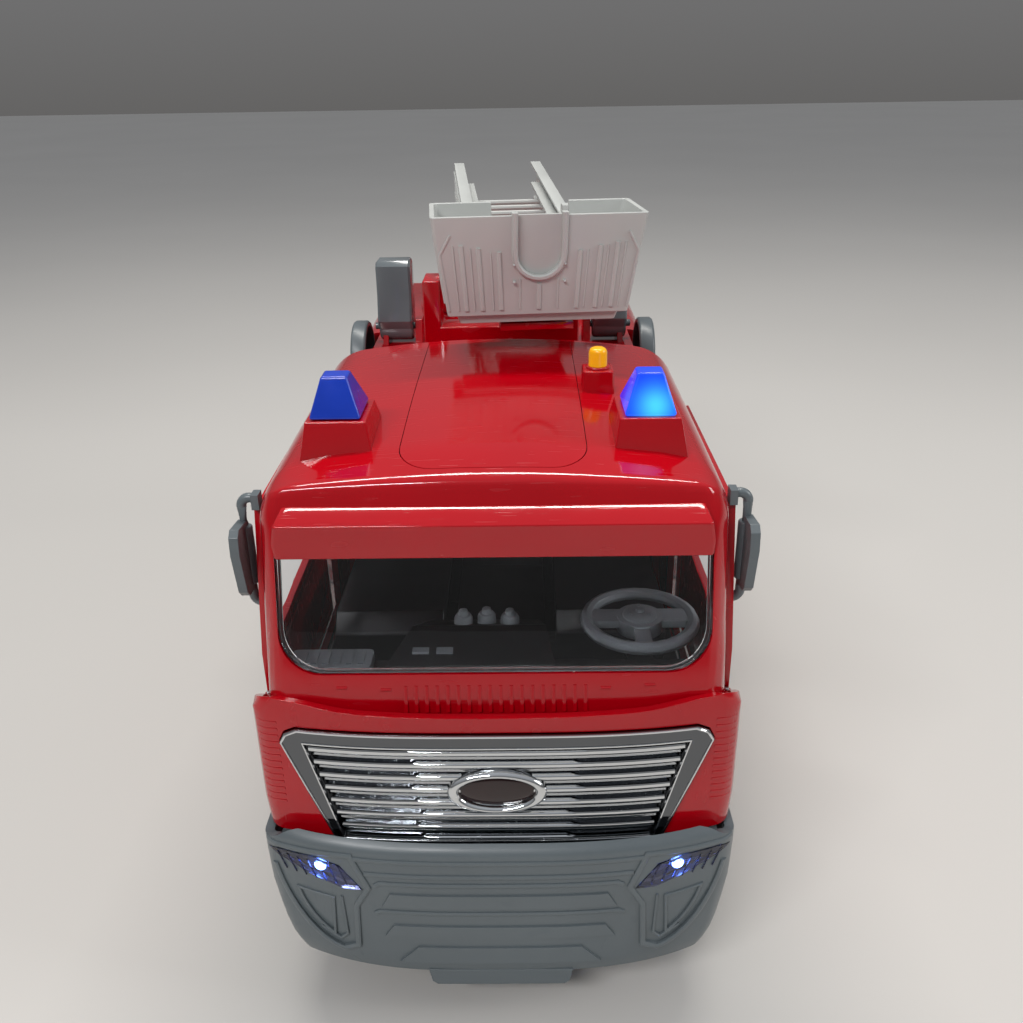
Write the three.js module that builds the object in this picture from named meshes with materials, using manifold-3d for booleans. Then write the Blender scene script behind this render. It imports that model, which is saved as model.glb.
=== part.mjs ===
// Toy fire engine with a tilt-style cab, a turntable ladder and a rescue bucket.
// Units are millimetres and +Z is up. The truck faces -Y, so +X is its left side.
// Every sub-part is drawn with y counted backwards from the front of the bumper,
// and the whole model is then moved so that y = 0 is the middle of its length.
import * as THREE from 'three';
import { mergeVertices } from 'three/addons/utils/BufferGeometryUtils.js';
import Module from 'manifold-3d';

const wasm = await Module();
wasm.setup();

// Driving dimensions
const LENGTH = 355;
const GAP = 0.3;
const WALL = 2.4;
const SIDES = [['left', 1], ['right', -1]];

const CAB = {
  half: 66.5, back: 152, bottom: 46, roof: 178, shoulderZ: 158, shoulderX: 15, shoulderRise: 16.5,
};
const CORNER = { across: 7, along: 12 };
const GLASS = { half: 60.6, bottom: 117.8, top: 153, corner: 12, thick: 1.6 };
const ROOF_PANEL = { half: 26.5, front: 36, corner: 10 };
const LID_SILL = 174.6;
const VISOR = { half: 60.5, taper: 3 };
const LOWER = { half: 70.5, front: 8.6, bottom: 70, top: 108.5, rise: 3.1, back: 26.5 };
const GRILLE = { top: 104.4, bottom: 69.4, topHalf: 60, bottomHalf: 49.6, thick: 3, bars: 8 };
const RING = { z: 83.5, outerX: 14.4, outerZ: 7.4, innerX: 10.9, innerZ: 5.2 };
const BUMPER = { half: 71, bottom: 19.5, tab: 14.2, top: 69, back: 44, bow: 11.2 };
const BEACON = { x: 44.7, front: 48, base: 182.6 };
const BUTTON = { x: 33, y: 95, radius: 3.1, seat: 183.2, top: 190, travel: 2 };
const DOOR = { inner: 67, outer: 69.4, bottom: 73, top: 158, back: 130, hingeY: 29.5, hingeX: 68.4 };
const MIRROR = { x: 72.8, y: 42.5, top: 161.4, bottom: 112, tube: 1.65 };
const WHEEL = { radius: 32, width: 24, centreX: 53.5, rim: 20, axle: 2, front: 82, rear: 272 };
const ARCH = 37.5;
const STEER = { x: 43.8, y: 47, z: 117, radius: 18.3 };
const BODY = { half: 66.5, front: 155, back: 346, deck: 160, shoulder: 9 };
const CHASSIS = { half: 34, bottom: 24, top: 44.7, front: 48, back: 343 };
const BAY = { half: 24, front: 140, back: 196, top: 42 };
const CELL = { radius: 7.1, length: 50 };
const REEL = { y: 215, z: 153, radius: 17, inner: 59.4, outer: 66 };
const ARM = { x: 47, half: 7.4, y: 219, z: 167, top: 196.2, foot: 6.2 };
const REST = { half: 32, front: 187, back: 204, top: 193, plate: 7 };
const TURRET = { y: 290, yaw: 5, radius: 40, plate: 4, plateX: 33, pinY: 12, pinZ: 38 };
const LADDER = { slope: 4.3, half: 22.5, front: -96, tail: 34, low: 6, high: 25, rung: 12 };
const EXTENSION = { half: 18.6, front: -132, back: -6, low: 8.5, high: 21.5 };
const BUCKET = {
  y: -152, z: 191.5, hinge: [32.5, 8.15],
  topHalf: 36.4, bottomHalf: 31.6, bottom: 2.1, height: 36.5, wall: 1.7,
};

const COLOURS = {
  red: { color: 0xb20a18, roughness: 0.22, metalness: 0 },
  grey: { color: 0x50575b, roughness: 0.45, metalness: 0 },
  dark: { color: 0x26292c, roughness: 0.5, metalness: 0 },
  light: { color: 0xb4b8b6, roughness: 0.4, metalness: 0 },
  chrome: { color: 0xc8cacc, roughness: 0.08, metalness: 1 },
  steel: { color: 0x9a9da0, roughness: 0.3, metalness: 1 },
  clear: { color: 0xdfe6ec, roughness: 0.05, metalness: 0 },
  blue: { color: 0x0a4fd0, roughness: 0.12, metalness: 0 },
  led: { color: 0xe8f2ff, roughness: 0.2, metalness: 0 },
  yellow: { color: 0xf2b400, roughness: 0.35, metalness: 0 },
  tyre: { color: 0x191a1b, roughness: 0.75, metalness: 0 },
  smoke: { color: 0x2a1a1c, roughness: 0.15, metalness: 0 },
  lampRed: { color: 0x9c0f12, roughness: 0.15, metalness: 0 },
  board: { color: 0x1f5a36, roughness: 0.5, metalness: 0 },
  cell: { color: 0x8a6a2a, roughness: 0.35, metalness: 0.5 },
};

// Solids
function toSolid(geometry) {
  const flat = geometry.clone();
  flat.deleteAttribute('normal');
  flat.deleteAttribute('uv');
  const merged = mergeVertices(flat, 1e-4);
  const vertProperties = new Float32Array(merged.attributes.position.array);
  const triVerts = new Uint32Array(merged.index.array);
  return new wasm.Manifold(new wasm.Mesh({ numProp: 3, vertProperties, triVerts }));
}

function toGeometry(solid) {
  const mesh = solid.getMesh();
  const geometry = new THREE.BufferGeometry();
  geometry.setAttribute('position', new THREE.BufferAttribute(new Float32Array(mesh.vertProperties), 3));
  geometry.setIndex(new THREE.BufferAttribute(new Uint32Array(mesh.triVerts), 1));
  geometry.computeVertexNormals();
  return geometry;
}

const join = (first, ...others) => others.reduce((solid, other) => solid.add(other), first);
const cut = (first, ...tools) => tools.reduce((solid, tool) => solid.subtract(tool), first);

function block(x0, x1, y0, y1, z0, z1) {
  const box = new THREE.BoxGeometry(x1 - x0, y1 - y0, z1 - z0);
  box.translate((x0 + x1) / 2, (y0 + y1) / 2, (z0 + z1) / 2);
  return toSolid(box);
}

function rod(axis, radius, from, to, at, segments = 24) {
  const geometry = new THREE.CylinderGeometry(radius, radius, to - from, segments);
  if (axis === 'x') geometry.rotateZ(-Math.PI / 2);
  if (axis === 'z') geometry.rotateX(Math.PI / 2);
  const middle = (from + to) / 2;
  if (axis === 'x') geometry.translate(middle, at[0], at[1]);
  if (axis === 'y') geometry.translate(at[0], middle, at[1]);
  if (axis === 'z') geometry.translate(at[0], at[1], middle);
  return toSolid(geometry);
}

function shape(points) {
  return new THREE.Shape(points.map(([u, v]) => new THREE.Vector2(u, v)));
}

// A shape in (y, z), pushed along X from x0 to x1.
function alongX(outline, x0, x1, options = {}) {
  const settings = { depth: x1 - x0, bevelEnabled: false, curveSegments: 8, ...options };
  const geometry = new THREE.ExtrudeGeometry(outline, settings);
  const turn = new THREE.Matrix4();
  turn.makeBasis(new THREE.Vector3(0, 1, 0), new THREE.Vector3(0, 0, 1), new THREE.Vector3(1, 0, 0));
  geometry.applyMatrix4(turn);
  geometry.translate(x0, 0, 0);
  return toSolid(geometry);
}

// A shape in (x, z), pushed along Y from y0 to y1.
function alongY(outline, y0, y1, options = {}) {
  const settings = { depth: y1 - y0, bevelEnabled: false, curveSegments: 8, ...options };
  const geometry = new THREE.ExtrudeGeometry(outline, settings);
  const turn = new THREE.Matrix4();
  turn.makeBasis(new THREE.Vector3(1, 0, 0), new THREE.Vector3(0, 0, 1), new THREE.Vector3(0, -1, 0));
  geometry.applyMatrix4(turn);
  geometry.translate(0, y1, 0);
  return toSolid(geometry);
}

// A shape in (x, y), pushed up from z0 to z1.
function alongZ(outline, z0, z1, options = {}) {
  const settings = { depth: z1 - z0, bevelEnabled: false, curveSegments: 8, ...options };
  const geometry = new THREE.ExtrudeGeometry(outline, settings);
  geometry.translate(0, 0, z0);
  return toSolid(geometry);
}

// A ring or disc turned about X: its profile is [x, radius] pairs.
function turned(profile, segments, y, z, side = 1) {
  const points = profile.map(([x, radius]) => new THREE.Vector2(radius, x));
  const geometry = new THREE.LatheGeometry(points, segments);
  geometry.rotateZ(-Math.PI / 2);
  const solid = toSolid(geometry).translate([0, y, z]);
  return side > 0 ? solid : mirrored(solid);
}

const mirrored = (solid) => solid.mirror([1, 0, 0]);
const sided = (solid, side) => (side > 0 ? solid : mirrored(solid));

// A plan outline with a bowed front: y = front at the middle and front + bow at the ends.
function bowed(half, front, bow, back, corner) {
  const outline = new THREE.Shape();
  const steps = 5;
  const reach = half - corner;
  outline.moveTo(-half, back);
  outline.lineTo(-half, front + bow + corner * 0.6);
  for (let step = 0; step <= 2 * steps; step += 1) {
    const x = reach * (step / steps - 1);
    outline.lineTo(x, front + bow * Math.abs(x / half) ** 3);
  }
  outline.lineTo(half, front + bow + corner * 0.6);
  outline.lineTo(half, back);
  return outline;
}

// Cab
function cabSolid(inset) {
  const side = new THREE.Shape();
  side.moveTo(14, 10);
  side.lineTo(190, 10);
  side.lineTo(190, CAB.roof);
  side.lineTo(110, CAB.roof);
  side.lineTo(52, CAB.roof - 2);
  side.bezierCurveTo(39, 175.5, 31.5, 170, 28.4, 159);
  side.lineTo(17, 117);
  side.lineTo(14, 109);
  const across = 2 * (CAB.half - inset - CORNER.across);
  const trimmed = alongX(side, -across / 2, across / 2, {
    bevelEnabled: true,
    bevelThickness: CORNER.across,
    bevelSize: CORNER.along,
    bevelOffset: -CORNER.along - inset,
    bevelSegments: 4,
  });
  const front = new THREE.Shape();
  const centre = CAB.half - CAB.shoulderX;
  front.moveTo(-CAB.half + inset, 30);
  front.lineTo(CAB.half - inset, 30);
  const shoulder = [CAB.shoulderX - inset, CAB.shoulderRise - inset];
  const eaves = CAB.shoulderZ + shoulder[1];
  front.absellipse(centre, CAB.shoulderZ, ...shoulder, 0, Math.PI / 2, false);
  front.quadraticCurveTo(0, 2 * (CAB.roof - inset) - eaves, -centre, eaves);
  front.absellipse(-centre, CAB.shoulderZ, ...shoulder, Math.PI / 2, Math.PI, false);
  return trimmed.intersect(alongY(front, 0, CAB.back - inset));
}

function glassOutline(grow) {
  const half = GLASS.half + grow;
  const bottom = GLASS.bottom - grow;
  const top = GLASS.top + grow;
  const r = GLASS.corner;
  const outline = new THREE.Shape();
  outline.moveTo(-half, top);
  outline.lineTo(-half, bottom + r);
  outline.absarc(-half + r, bottom + r, r, Math.PI, 1.5 * Math.PI, false);
  outline.absarc(half - r, bottom + r, r, 1.5 * Math.PI, 2 * Math.PI, false);
  outline.lineTo(half, top);
  return outline;
}

function roofPanelOutline(grow) {
  const half = ROOF_PANEL.half + grow;
  const front = ROOF_PANEL.front - grow;
  const r = ROOF_PANEL.corner;
  const outline = new THREE.Shape();
  outline.moveTo(half, CAB.back + 5);
  outline.lineTo(-half, CAB.back + 5);
  outline.absarc(-half + r, front + r, r, Math.PI, 1.5 * Math.PI, false);
  outline.absarc(half - r, front + r, r, 1.5 * Math.PI, 2 * Math.PI, false);
  return outline;
}

function doorOutline(grow) {
  return shape([
    [DOOR.hingeY + 1.8 - grow, DOOR.bottom - grow],
    [DOOR.back + grow, DOOR.bottom - grow],
    [DOOR.back + grow, DOOR.top + grow],
    [43 - grow, DOOR.top + grow],
    [DOOR.hingeY + 1.8 - grow, 116],
  ]);
}

function windowOutline() {
  const outline = new THREE.Shape();
  outline.moveTo(118, 116);
  outline.lineTo(118, 146);
  outline.quadraticCurveTo(118, 150, 114, 150);
  outline.lineTo(52, 150);
  outline.lineTo(44, 120);
  outline.quadraticCurveTo(44, 116, 50, 116);
  return outline;
}

function wheelArch(y, radius) {
  const arch = rod('x', radius, 38, 90, [y, WHEEL.radius], 40);
  return arch.add(mirrored(arch));
}

function pedestal(side) {
  const width = [[33.8, 46], [56, 46], [56, 78], [33.8, 78]];
  const foot = alongZ(shape(width), 150, 182.3);
  const across = shape([[33.8, 150], [56.2, 150], [56.2, 174], [52.8, 182.3], [35.8, 182.3], [33.8, 176]]);
  const lengthwise = shape([[45, 150], [45, 175], [47.3, 182.3], [67.5, 182.3], [78, 177], [78, 150]]);
  const sloped = foot.intersect(alongY(across, 40, 90)).intersect(alongX(lengthwise, 20, 70));
  return sided(sloped, side);
}

function makeCabShell() {
  const inside = cabSolid(WALL);
  let shell = cabSolid(0);
  for (const [, side] of SIDES) shell = shell.add(pedestal(side));
  shell = shell.add(block(BUTTON.x - 5, BUTTON.x + 5, BUTTON.y - 5, BUTTON.y + 5, 172, BUTTON.seat - 1));
  shell = cut(shell, inside, block(-80, 80, -10, 200, -10, CAB.bottom));
  const sill = block(-80, 80, CAB.back - WALL, 200, 100, LID_SILL);
  const lidHole = cut(alongZ(roofPanelOutline(GAP), 150, 200), sill);
  shell = cut(shell, lidHole);
  shell = cut(shell, alongY(glassOutline(GAP), 0, 50));
  shell = cut(shell, wheelArch(WHEEL.front, ARCH));
  shell = cut(shell, rod('z', BUTTON.radius + GAP, 160, 200, [BUTTON.x, BUTTON.y]));
  for (const [, side] of SIDES) {
    shell = cut(shell, sided(rod('z', 3, 165, 190, [BEACON.x, BEACON.front + 9]), side));
    shell = cut(shell, sided(alongX(doorOutline(-6), 50, 90), side));
    shell = shell.add(sided(join(hingeEar(79, 84), hingeEar(98, 103)), side));
  }
  return cut(shell, doorPinHole(1), doorPinHole(-1));
}

function hingeEar(low, high) {
  const barrel = rod('z', 1.6, low, high, [DOOR.hingeX, DOOR.hingeY], 16);
  return barrel.add(block(64.6, DOOR.hingeX, DOOR.hingeY - 1.6, DOOR.hingeY + 1.4, low, high));
}

function doorPinHole(side) {
  return sided(rod('z', 0.8, 78, 104, [DOOR.hingeX, DOOR.hingeY], 16), side);
}

function makeRoofPanel() {
  const skin = cut(cabSolid(0), cabSolid(WALL)).intersect(alongZ(roofPanelOutline(0), 160, 200));
  return cut(skin, block(-80, 80, CAB.back - WALL - GAP, 300, 100, LID_SILL + GAP));
}

function makeVisor() {
  const profile = shape([[27, 149.3], [31, 149.3], [36, 168], [30.8, 164.6], [24, 160.5]]);
  const bar = alongX(profile, -VISOR.half - 1, VISOR.half + 1);
  const ends = alongY(shape([
    [-VISOR.half, 147], [VISOR.half, 147], [VISOR.half + 0.6, 158], [VISOR.half - VISOR.taper, 168],
    [-VISOR.half + VISOR.taper, 168], [-VISOR.half - 0.6, 158],
  ]), 0, 60);
  return cut(bar.intersect(ends), cabSolid(-GAP));
}

function makeWindscreen() {
  const skin = cut(cabSolid(0.4), cabSolid(0.4 + GLASS.thick));
  return skin.intersect(alongY(glassOutline(0), 0, 48));
}

function makeLowerPanel() {
  const eaves = LOWER.top + LOWER.rise;
  const outer = alongZ(bowed(LOWER.half, LOWER.front, 6.6, LOWER.back, 5), LOWER.bottom, eaves);
  const hollow = bowed(LOWER.half - WALL, LOWER.front + WALL, 6.6, 60, 4);
  const inner = alongZ(hollow, LOWER.bottom - 1, LOWER.top - WALL);
  const brow = alongY(shape([
    [-80, 130], [-80, eaves], [-66, eaves], [-40, LOWER.top + 0.8], [0, LOWER.top],
    [40, LOWER.top + 0.8], [66, eaves], [80, eaves], [80, 130],
  ]), -5, 60);
  const back = LOWER.back + 1;
  const fall = alongX(shape([[15, 130], [15, eaves], [back, LOWER.top - 7], [back, 130]]), -90, 90);
  return cut(outer, inner, brow, fall, cabSolid(-GAP), alongY(grilleOutline(GAP), -5, 18));
}

function grilleOutline(grow) {
  const { top, bottom, topHalf, bottomHalf } = GRILLE;
  return shape([
    [-bottomHalf - grow, bottom - grow], [bottomHalf + grow, bottom - grow],
    [topHalf + 1 + grow, top - 3], [topHalf - 1.4 + grow, top + grow],
    [-topHalf + 1.4 - grow, top + grow], [-topHalf - 1 - grow, top - 3],
  ]);
}

function bowStrip(front, thick, low, high) {
  const outer = bowed(68, front, 6.6, 40, 4);
  const inner = bowed(68, front + thick, 6.6, 60, 4);
  return cut(alongZ(outer, low, high), alongZ(inner, low - 1, high + 1));
}

function ellipse(x, z) {
  const outline = new THREE.Shape();
  outline.absellipse(0, RING.z, x, z, 0, 2 * Math.PI, false);
  return outline;
}

function makeGrille() {
  const skin = bowStrip(LOWER.front - 1.2, GRILLE.thick + 1.2, 60, 110);
  const frame = skin.intersect(alongY(grilleOutline(0), -5, 40));
  const opening = alongY(shape([[-46.4, 71.4], [46.4, 71.4], [54.6, 99.6], [-54.6, 99.6]]), -5, 30);
  let grille = cut(frame, opening.intersect(bowStrip(LOWER.front - 8, 9, 60, 110)));
  const pitch = 27.4 / (GRILLE.bars - 0.5);
  for (let bar = 0; bar < GRILLE.bars; bar += 1) {
    const z = 72.2 + pitch * bar;
    const half = 46.1 + (z - 71.4) * 0.285;
    const strip = bowStrip(LOWER.front - 0.6, 2, z, z + 1.7);
    grille = grille.add(strip.intersect(block(-half, half, -5, 40, 60, 110)));
  }
  const smooth = { curveSegments: 16 };
  const ring = alongY(ellipse(RING.outerX, RING.outerZ), LOWER.front - 2.2, LOWER.front + 2.5, smooth);
  const hole = alongY(ellipse(RING.innerX + GAP, RING.innerZ + GAP), -5, LOWER.front + 1.8, smooth);
  return cut(grille.add(ring), hole, cabSolid(-GAP));
}

function makeBadgeInsert() {
  const outline = ellipse(RING.innerX, RING.innerZ);
  return alongY(outline, LOWER.front - 0.6, LOWER.front + 1.5, { curveSegments: 16 });
}

function bumperOutline() {
  return shape([
    [-64.5, BUMPER.bottom], [-22, BUMPER.bottom],
    [-20.6, BUMPER.tab], [20.6, BUMPER.tab], [22, BUMPER.bottom],
    [64.5, BUMPER.bottom], [67.2, 27], [68.6, 33], [71, 58], [71, 63.4], [62, BUMPER.top],
    [-62, BUMPER.top], [-71, 63.4], [-71, 58], [-68.6, 33], [-67.2, 27],
  ]);
}

function lampOutline(grow) {
  return shape([
    [41.2 - grow, 51.6 - grow], [47, 50.6 - grow], [55, 53.6 - grow], [63, 58 - grow],
    [69.6 + grow, 61.6], [66, 63 + grow], [54, 62.6 + grow], [47.4 - grow, 60.2 + grow],
  ]);
}

function bumperSkin(inset, low, high) {
  const back = BUMPER.back + (inset > 0 ? 10 : 0);
  return alongZ(bowed(BUMPER.half - inset, inset, BUMPER.bow, back, 4), low, high);
}

function makeBumper() {
  const hollowOutline = shape([
    [-62, 0], [62, 0], [66, 33], [68.2, 58], [66, 62], [60, 66], [-60, 66], [-66, 62], [-68.2, 58], [-66, 33],
  ]);
  const hollow = bumperSkin(2.8, 0, BUMPER.top - 2.6).intersect(alongY(hollowOutline, -5, 80));
  let bumper = cut(bumperSkin(0, 10, 80).intersect(alongY(bumperOutline(), -5, 80)), hollow);
  bumper = cut(bumper, cabSolid(-GAP - 0.2), block(-63, 63, 14, 60, 60, 80));
  for (const [, side] of SIDES) bumper = cut(bumper, sided(alongY(lampOutline(GAP), -5, 30), side));
  return bumper;
}

function makeHeadlamp(side) {
  const skin = cut(bumperSkin(0.5, 40, 70), bumperSkin(2.3, 40, 70));
  return sided(skin.intersect(alongY(lampOutline(0), -5, 30)), side);
}

// One strip board carries both headlamp LEDs.
function makeHeadlampBoard() {
  let board = block(-56, 56, 11.4, 12.8, 54, 59.4);
  for (const x of [-52, 52]) {
    const flange = rod('y', 2.5, 9.4, 12, [x, 58.6], 16);
    board = join(board, flange, rod('y', 1.9, 8.4, 9.5, [x, 58.6], 16));
  }
  return board;
}

// A block whose base and top are rectangles of different sizes, each [x0, x1, y0, y1].
function taperedBlock(base, top, z0, z1) {
  const outline = ([x0, x1, y0, y1]) => [[x0, y0], [x1, y0], [x1, y1], [x0, y1]];
  const low = outline(base).map(([x, y]) => [x, y, z0]);
  const high = outline(top).map(([x, y]) => [x, y, z1]);
  const vertProperties = new Float32Array([...low, ...high].flat());
  const faces = [0, 2, 1, 0, 3, 2, 4, 5, 6, 4, 6, 7];
  for (let i = 0; i < 4; i += 1) {
    const next = (i + 1) % 4;
    faces.push(i, next, 4 + next, i, 4 + next, 4 + i);
  }
  return new wasm.Manifold(new wasm.Mesh({ numProp: 3, vertProperties, triVerts: new Uint32Array(faces) }));
}

function makeBeaconLens(side) {
  const { x, front, base } = BEACON;
  const rim = [x - 7.3, x + 7.3, front, front + 18];
  const crown = [x - 3.7, x + 3.7, front + 4, front + 10];
  const innerRim = [x - 6, x + 6, front + 1.3, front + 16.7];
  const innerCrown = [x - 3, x + 3, front + 5, front + 9];
  const outer = taperedBlock(rim, crown, base, base + 11.6);
  return sided(cut(outer, taperedBlock(innerRim, innerCrown, base - 1, base + 10)), side);
}

// One strip board under the roof carries both beacon LEDs.
function makeBeaconBoard() {
  const { x, front, base } = BEACON;
  let board = block(-x - 4, x + 4, front + 5, front + 13, 168, 169.6);
  for (const at of [-x, x]) {
    const stem = rod('z', 2.5, 169, base + 3, [at, front + 9], 20);
    board = join(board, stem, rod('z', 1.7, base + 2.9, base + 4.4, [at, front + 9], 20));
  }
  return board;
}

function makeButton() {
  const { x, y, radius, top, seat } = BUTTON;
  const profile = [
    [0, seat - 11], [radius - 0.1, seat - 11], [radius - 0.1, top - 1.6],
    [radius - 0.5, top - 0.6], [radius - 1.4, top - 0.1], [0, top],
  ];
  const geometry = new THREE.LatheGeometry(profile.map(([r, z]) => new THREE.Vector2(r, z)), 24);
  geometry.rotateX(Math.PI / 2);
  const solid = toSolid(geometry).translate([x, y, 0]);
  return solid.add(rod('z', radius + 1.2, seat - 12.5, seat - 10.9, [x, y], 24));
}

function makeButtonSpring() {
  const turns = 3;
  const { x, y, seat } = BUTTON;
  const points = [];
  for (let i = 0; i <= turns * 8; i += 1) {
    const angle = (i / 8) * 2 * Math.PI;
    const z = seat - 17.4 + (4.4 * i) / (turns * 8);
    points.push(new THREE.Vector3(x + 2.4 * Math.cos(angle), y + 2.4 * Math.sin(angle), z));
  }
  const section = new THREE.Shape();
  section.absarc(0, 0, 0.3, 0, 2 * Math.PI, false);
  const path = new THREE.CatmullRomCurve3(points);
  const settings = { steps: turns * 9, extrudePath: path, curveSegments: 3 };
  return toSolid(new THREE.ExtrudeGeometry(section, settings));
}

function makeButtonSwitch() {
  const { x, y, seat } = BUTTON;
  const body = block(x - 5, x + 5, y - 5, y + 5, seat - 22, seat - 17.8);
  return body.add(rod('z', 1.2, seat - 18, seat - 15.5, [x, y], 16));
}

function makeDoor(side) {
  const { hingeX, hingeY, inner, outer } = DOOR;
  const liner = shape([[52, 80], [118, 80], [118, 110], [48, 110], [48, 88]]);
  let door = alongX(doorOutline(0), inner, outer);
  door = cut(door, alongX(windowOutline(), 60, 80), alongX(liner, inner - 1, inner + 1));
  door = cut(door, block(68.4, 80, 103.5, 122.5, 98.5, 106.5));
  const hinge = [hingeX, hingeY];
  door = cut(door, rod('z', 2, 78.6, 84.3, hinge, 16), rod('z', 2, 97.7, 103.4, hinge, 16));
  door = door.add(rod('z', 1.6, 84.4, 97.6, hinge, 16));
  door = door.add(block(hingeX - 1, hingeX + 0.8, hingeY, hingeY + 2.4, 84.4, 97.6));
  return cut(sided(door, side), doorPinHole(side));
}

function makeDoorPin(side) {
  return sided(rod('z', 0.7, 78.6, 103.6, [DOOR.hingeX, DOOR.hingeY], 16), side);
}

function makeMirrorArm(side) {
  const { x, y, top, bottom, tube } = MIRROR;
  const path = new THREE.CurvePath();
  const corner = [[x - 3, top], [x, top], [x, top - 3]];
  const bend = corner.map(([across, z]) => new THREE.Vector3(across, y, z));
  path.add(new THREE.LineCurve3(new THREE.Vector3(68, y, top), bend[0]));
  path.add(new THREE.QuadraticBezierCurve3(...bend));
  path.add(new THREE.LineCurve3(bend[2], new THREE.Vector3(x, y, bottom + 3)));
  const section = new THREE.Shape();
  section.absarc(0, 0, tube, 0, 2 * Math.PI, false);
  const geometry = new THREE.ExtrudeGeometry(section, { steps: 14, extrudePath: path, curveSegments: 5 });
  const bracket = block(67.2, 70.6, y - 3.4, y + 3.6, DOOR.top + GAP, top + 2);
  return sided(toSolid(geometry).add(bracket), side);
}

function makeMirrorHead(side) {
  const { x, y, tube } = MIRROR;
  const face = shape([[y + 2.6, 131], [y + 2.6, 154.5], [y - 12, 156], [y - 13, 154.6], [y - 9.6, 131]]);
  const plate = alongX(face, x - 1.6, x + 2.4);
  const clip = rod('z', tube + 1, 133, 153, [x, y], 20);
  return sided(cut(plate.add(clip), rod('z', tube + 0.12, 120, 160, [x, y], 20)), side);
}

// Cab interior
function makeCabFloor() {
  const plate = block(-63.6, 63.6, 17.5, 149, 74, 76.5);
  const wall = block(-61, 61, 144.5, 147, 76, 166);
  const hump = block(-13, 13, 60, 146, 76, 90);
  const tunnel = block(-11, 11, 62, 144, 70, 88);
  return cut(join(plate, wall, hump), tunnel).intersect(cabSolid(WALL + GAP));
}

function makeDashboard() {
  const profile = shape([[19.6, 78], [44, 78], [36, 108], [31, 113.5], [21.2, 113.5], [17.2, 105]]);
  const shelf = alongX(profile, -62, 62);
  const console = alongX(shape([[22, 112], [50, 100], [48, 117], [38, 121], [24, 116]]), -34, 18);
  const wedge = alongZ(shape([[-34, 20], [18, 20], [12, 52], [-18, 52]]), 90, 130);
  let dash = shelf.add(console.intersect(wedge));
  for (const x of [-9, -2, 5]) dash = dash.add(rod('z', 2, 118, 121.8, [x, 43], 14));
  const column = rod('z', 3.4, 100, STEER.z - 5, [STEER.x, STEER.y], 16);
  dash = join(dash, column, block(STEER.x - 4, STEER.x + 4, 34, STEER.y, 100, 107));
  dash = cut(dash, block(30, 59, 22, 44, 112.6, 120), cabSolid(-100).subtract(cabSolid(WALL + 2.2)));
  dash = cut(dash, alongX(shape([[22, 77], [41, 77], [34, 106], [30, 111], [23, 111]]), -59.5, 59.5));
  return cut(dash, rod('z', 1.6, 99.5, 130, [STEER.x, STEER.y], 16));
}

function makeSteeringWheel() {
  const { x, y, z, radius } = STEER;
  const rim = new THREE.TorusGeometry(radius - 2, 2, 8, 28);
  const hub = rod('z', 7, -3, 1.6, [0, 0], 28);
  const spokes = join(
    block(-radius + 2, radius - 2, -2.5, 5, -1.4, 1),
    block(-2.4, 2.4, -radius + 2, 0, -1.4, 1),
  );
  const shaft = rod('z', 1.5, -12, 0, [0, 0], 16);
  return join(toSolid(rim), hub, spokes, shaft).translate([x, y, z]);
}

function makeBenchSeat() {
  const profile = shape([
    [72, 77], [132, 77], [140, 140], [138, 146], [131, 146], [124, 102], [76, 104], [70, 98],
  ]);
  const seats = alongX(profile, -56, 56);
  const under = join(block(-54, -15.6, 74, 128, 70, 101), block(15.6, 54, 74, 128, 70, 101));
  const between = join(block(-18, 18, 60, 150, 104, 150), block(-19, 19, 60, 125, 95, 150));
  const tunnel = block(-13.6, 13.6, 50, 160, 70, 90.6);
  return cut(seats, between, tunnel, under);
}

// Chassis and wheels
function makeChassis() {
  const { half, bottom, top, front, back } = CHASSIS;
  let frame = block(-half, half, front, back, bottom, top);
  const pockets = [[front + 3, 74], [90, BAY.front - 3], [BAY.back + 3, 264], [280, back - 3]];
  for (const [from, to] of pockets) {
    frame = cut(frame, block(-half + 3, half - 3, from, to, bottom + 3, top + 5));
  }
  const coverHalf = BAY.half + 3;
  frame = cut(frame, block(-BAY.half, BAY.half, BAY.front, BAY.back, bottom - 1, BAY.top));
  frame = cut(frame, block(-coverHalf, coverHalf, BAY.front - 6, BAY.back + 6, bottom - 1, bottom + 1.9));
  let floor = block(-63.4, 63.4, BODY.front + WALL + GAP, back, top - 0.1, top + 2.2);
  for (const [from, to] of pockets.slice(2)) floor = cut(floor, block(-half + 3, half - 3, from, to, 40, 50));
  frame = frame.add(floor);
  frame = cut(frame, wheelArch(WHEEL.front, ARCH + 2), wheelArch(WHEEL.rear, ARCH + 2));
  for (const y of [WHEEL.front, WHEEL.rear]) {
    frame = frame.add(block(-38, 38, y - 7, y + 7, bottom, top - 1));
    frame = cut(frame, rod('x', WHEEL.axle + 0.1, -50, 50, [y, WHEEL.radius], 24));
  }
  frame = cut(frame, rod('z', 1.3, bottom - 1, bottom + 14, [0, BAY.back + 3], 12));
  return frame;
}

function makeCoverScrew() {
  const y = BAY.back + 3;
  const z = CHASSIS.bottom - 1.5;
  const slot = block(-2, 2, y - 0.3, y + 0.3, z - 1, z + 0.6);
  const crossSlot = block(-0.3, 0.3, y - 2, y + 2, z - 1, z + 0.6);
  const head = cut(rod('z', 2.7, z, z + 1.3, [0, y], 16), slot, crossSlot);
  return head.add(rod('z', 1.2, z + 1.2, z + 6, [0, y], 12));
}

function makeBatteryCover() {
  const half = BAY.half + 2.6;
  const { bottom } = CHASSIS;
  const cover = block(-half, half, BAY.front - 5.6, BAY.back + 5.6, bottom - 0.1, bottom + 1.6);
  return cut(cover, rod('z', 1.6, 20, 30, [0, BAY.back + 3], 12));
}

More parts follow.
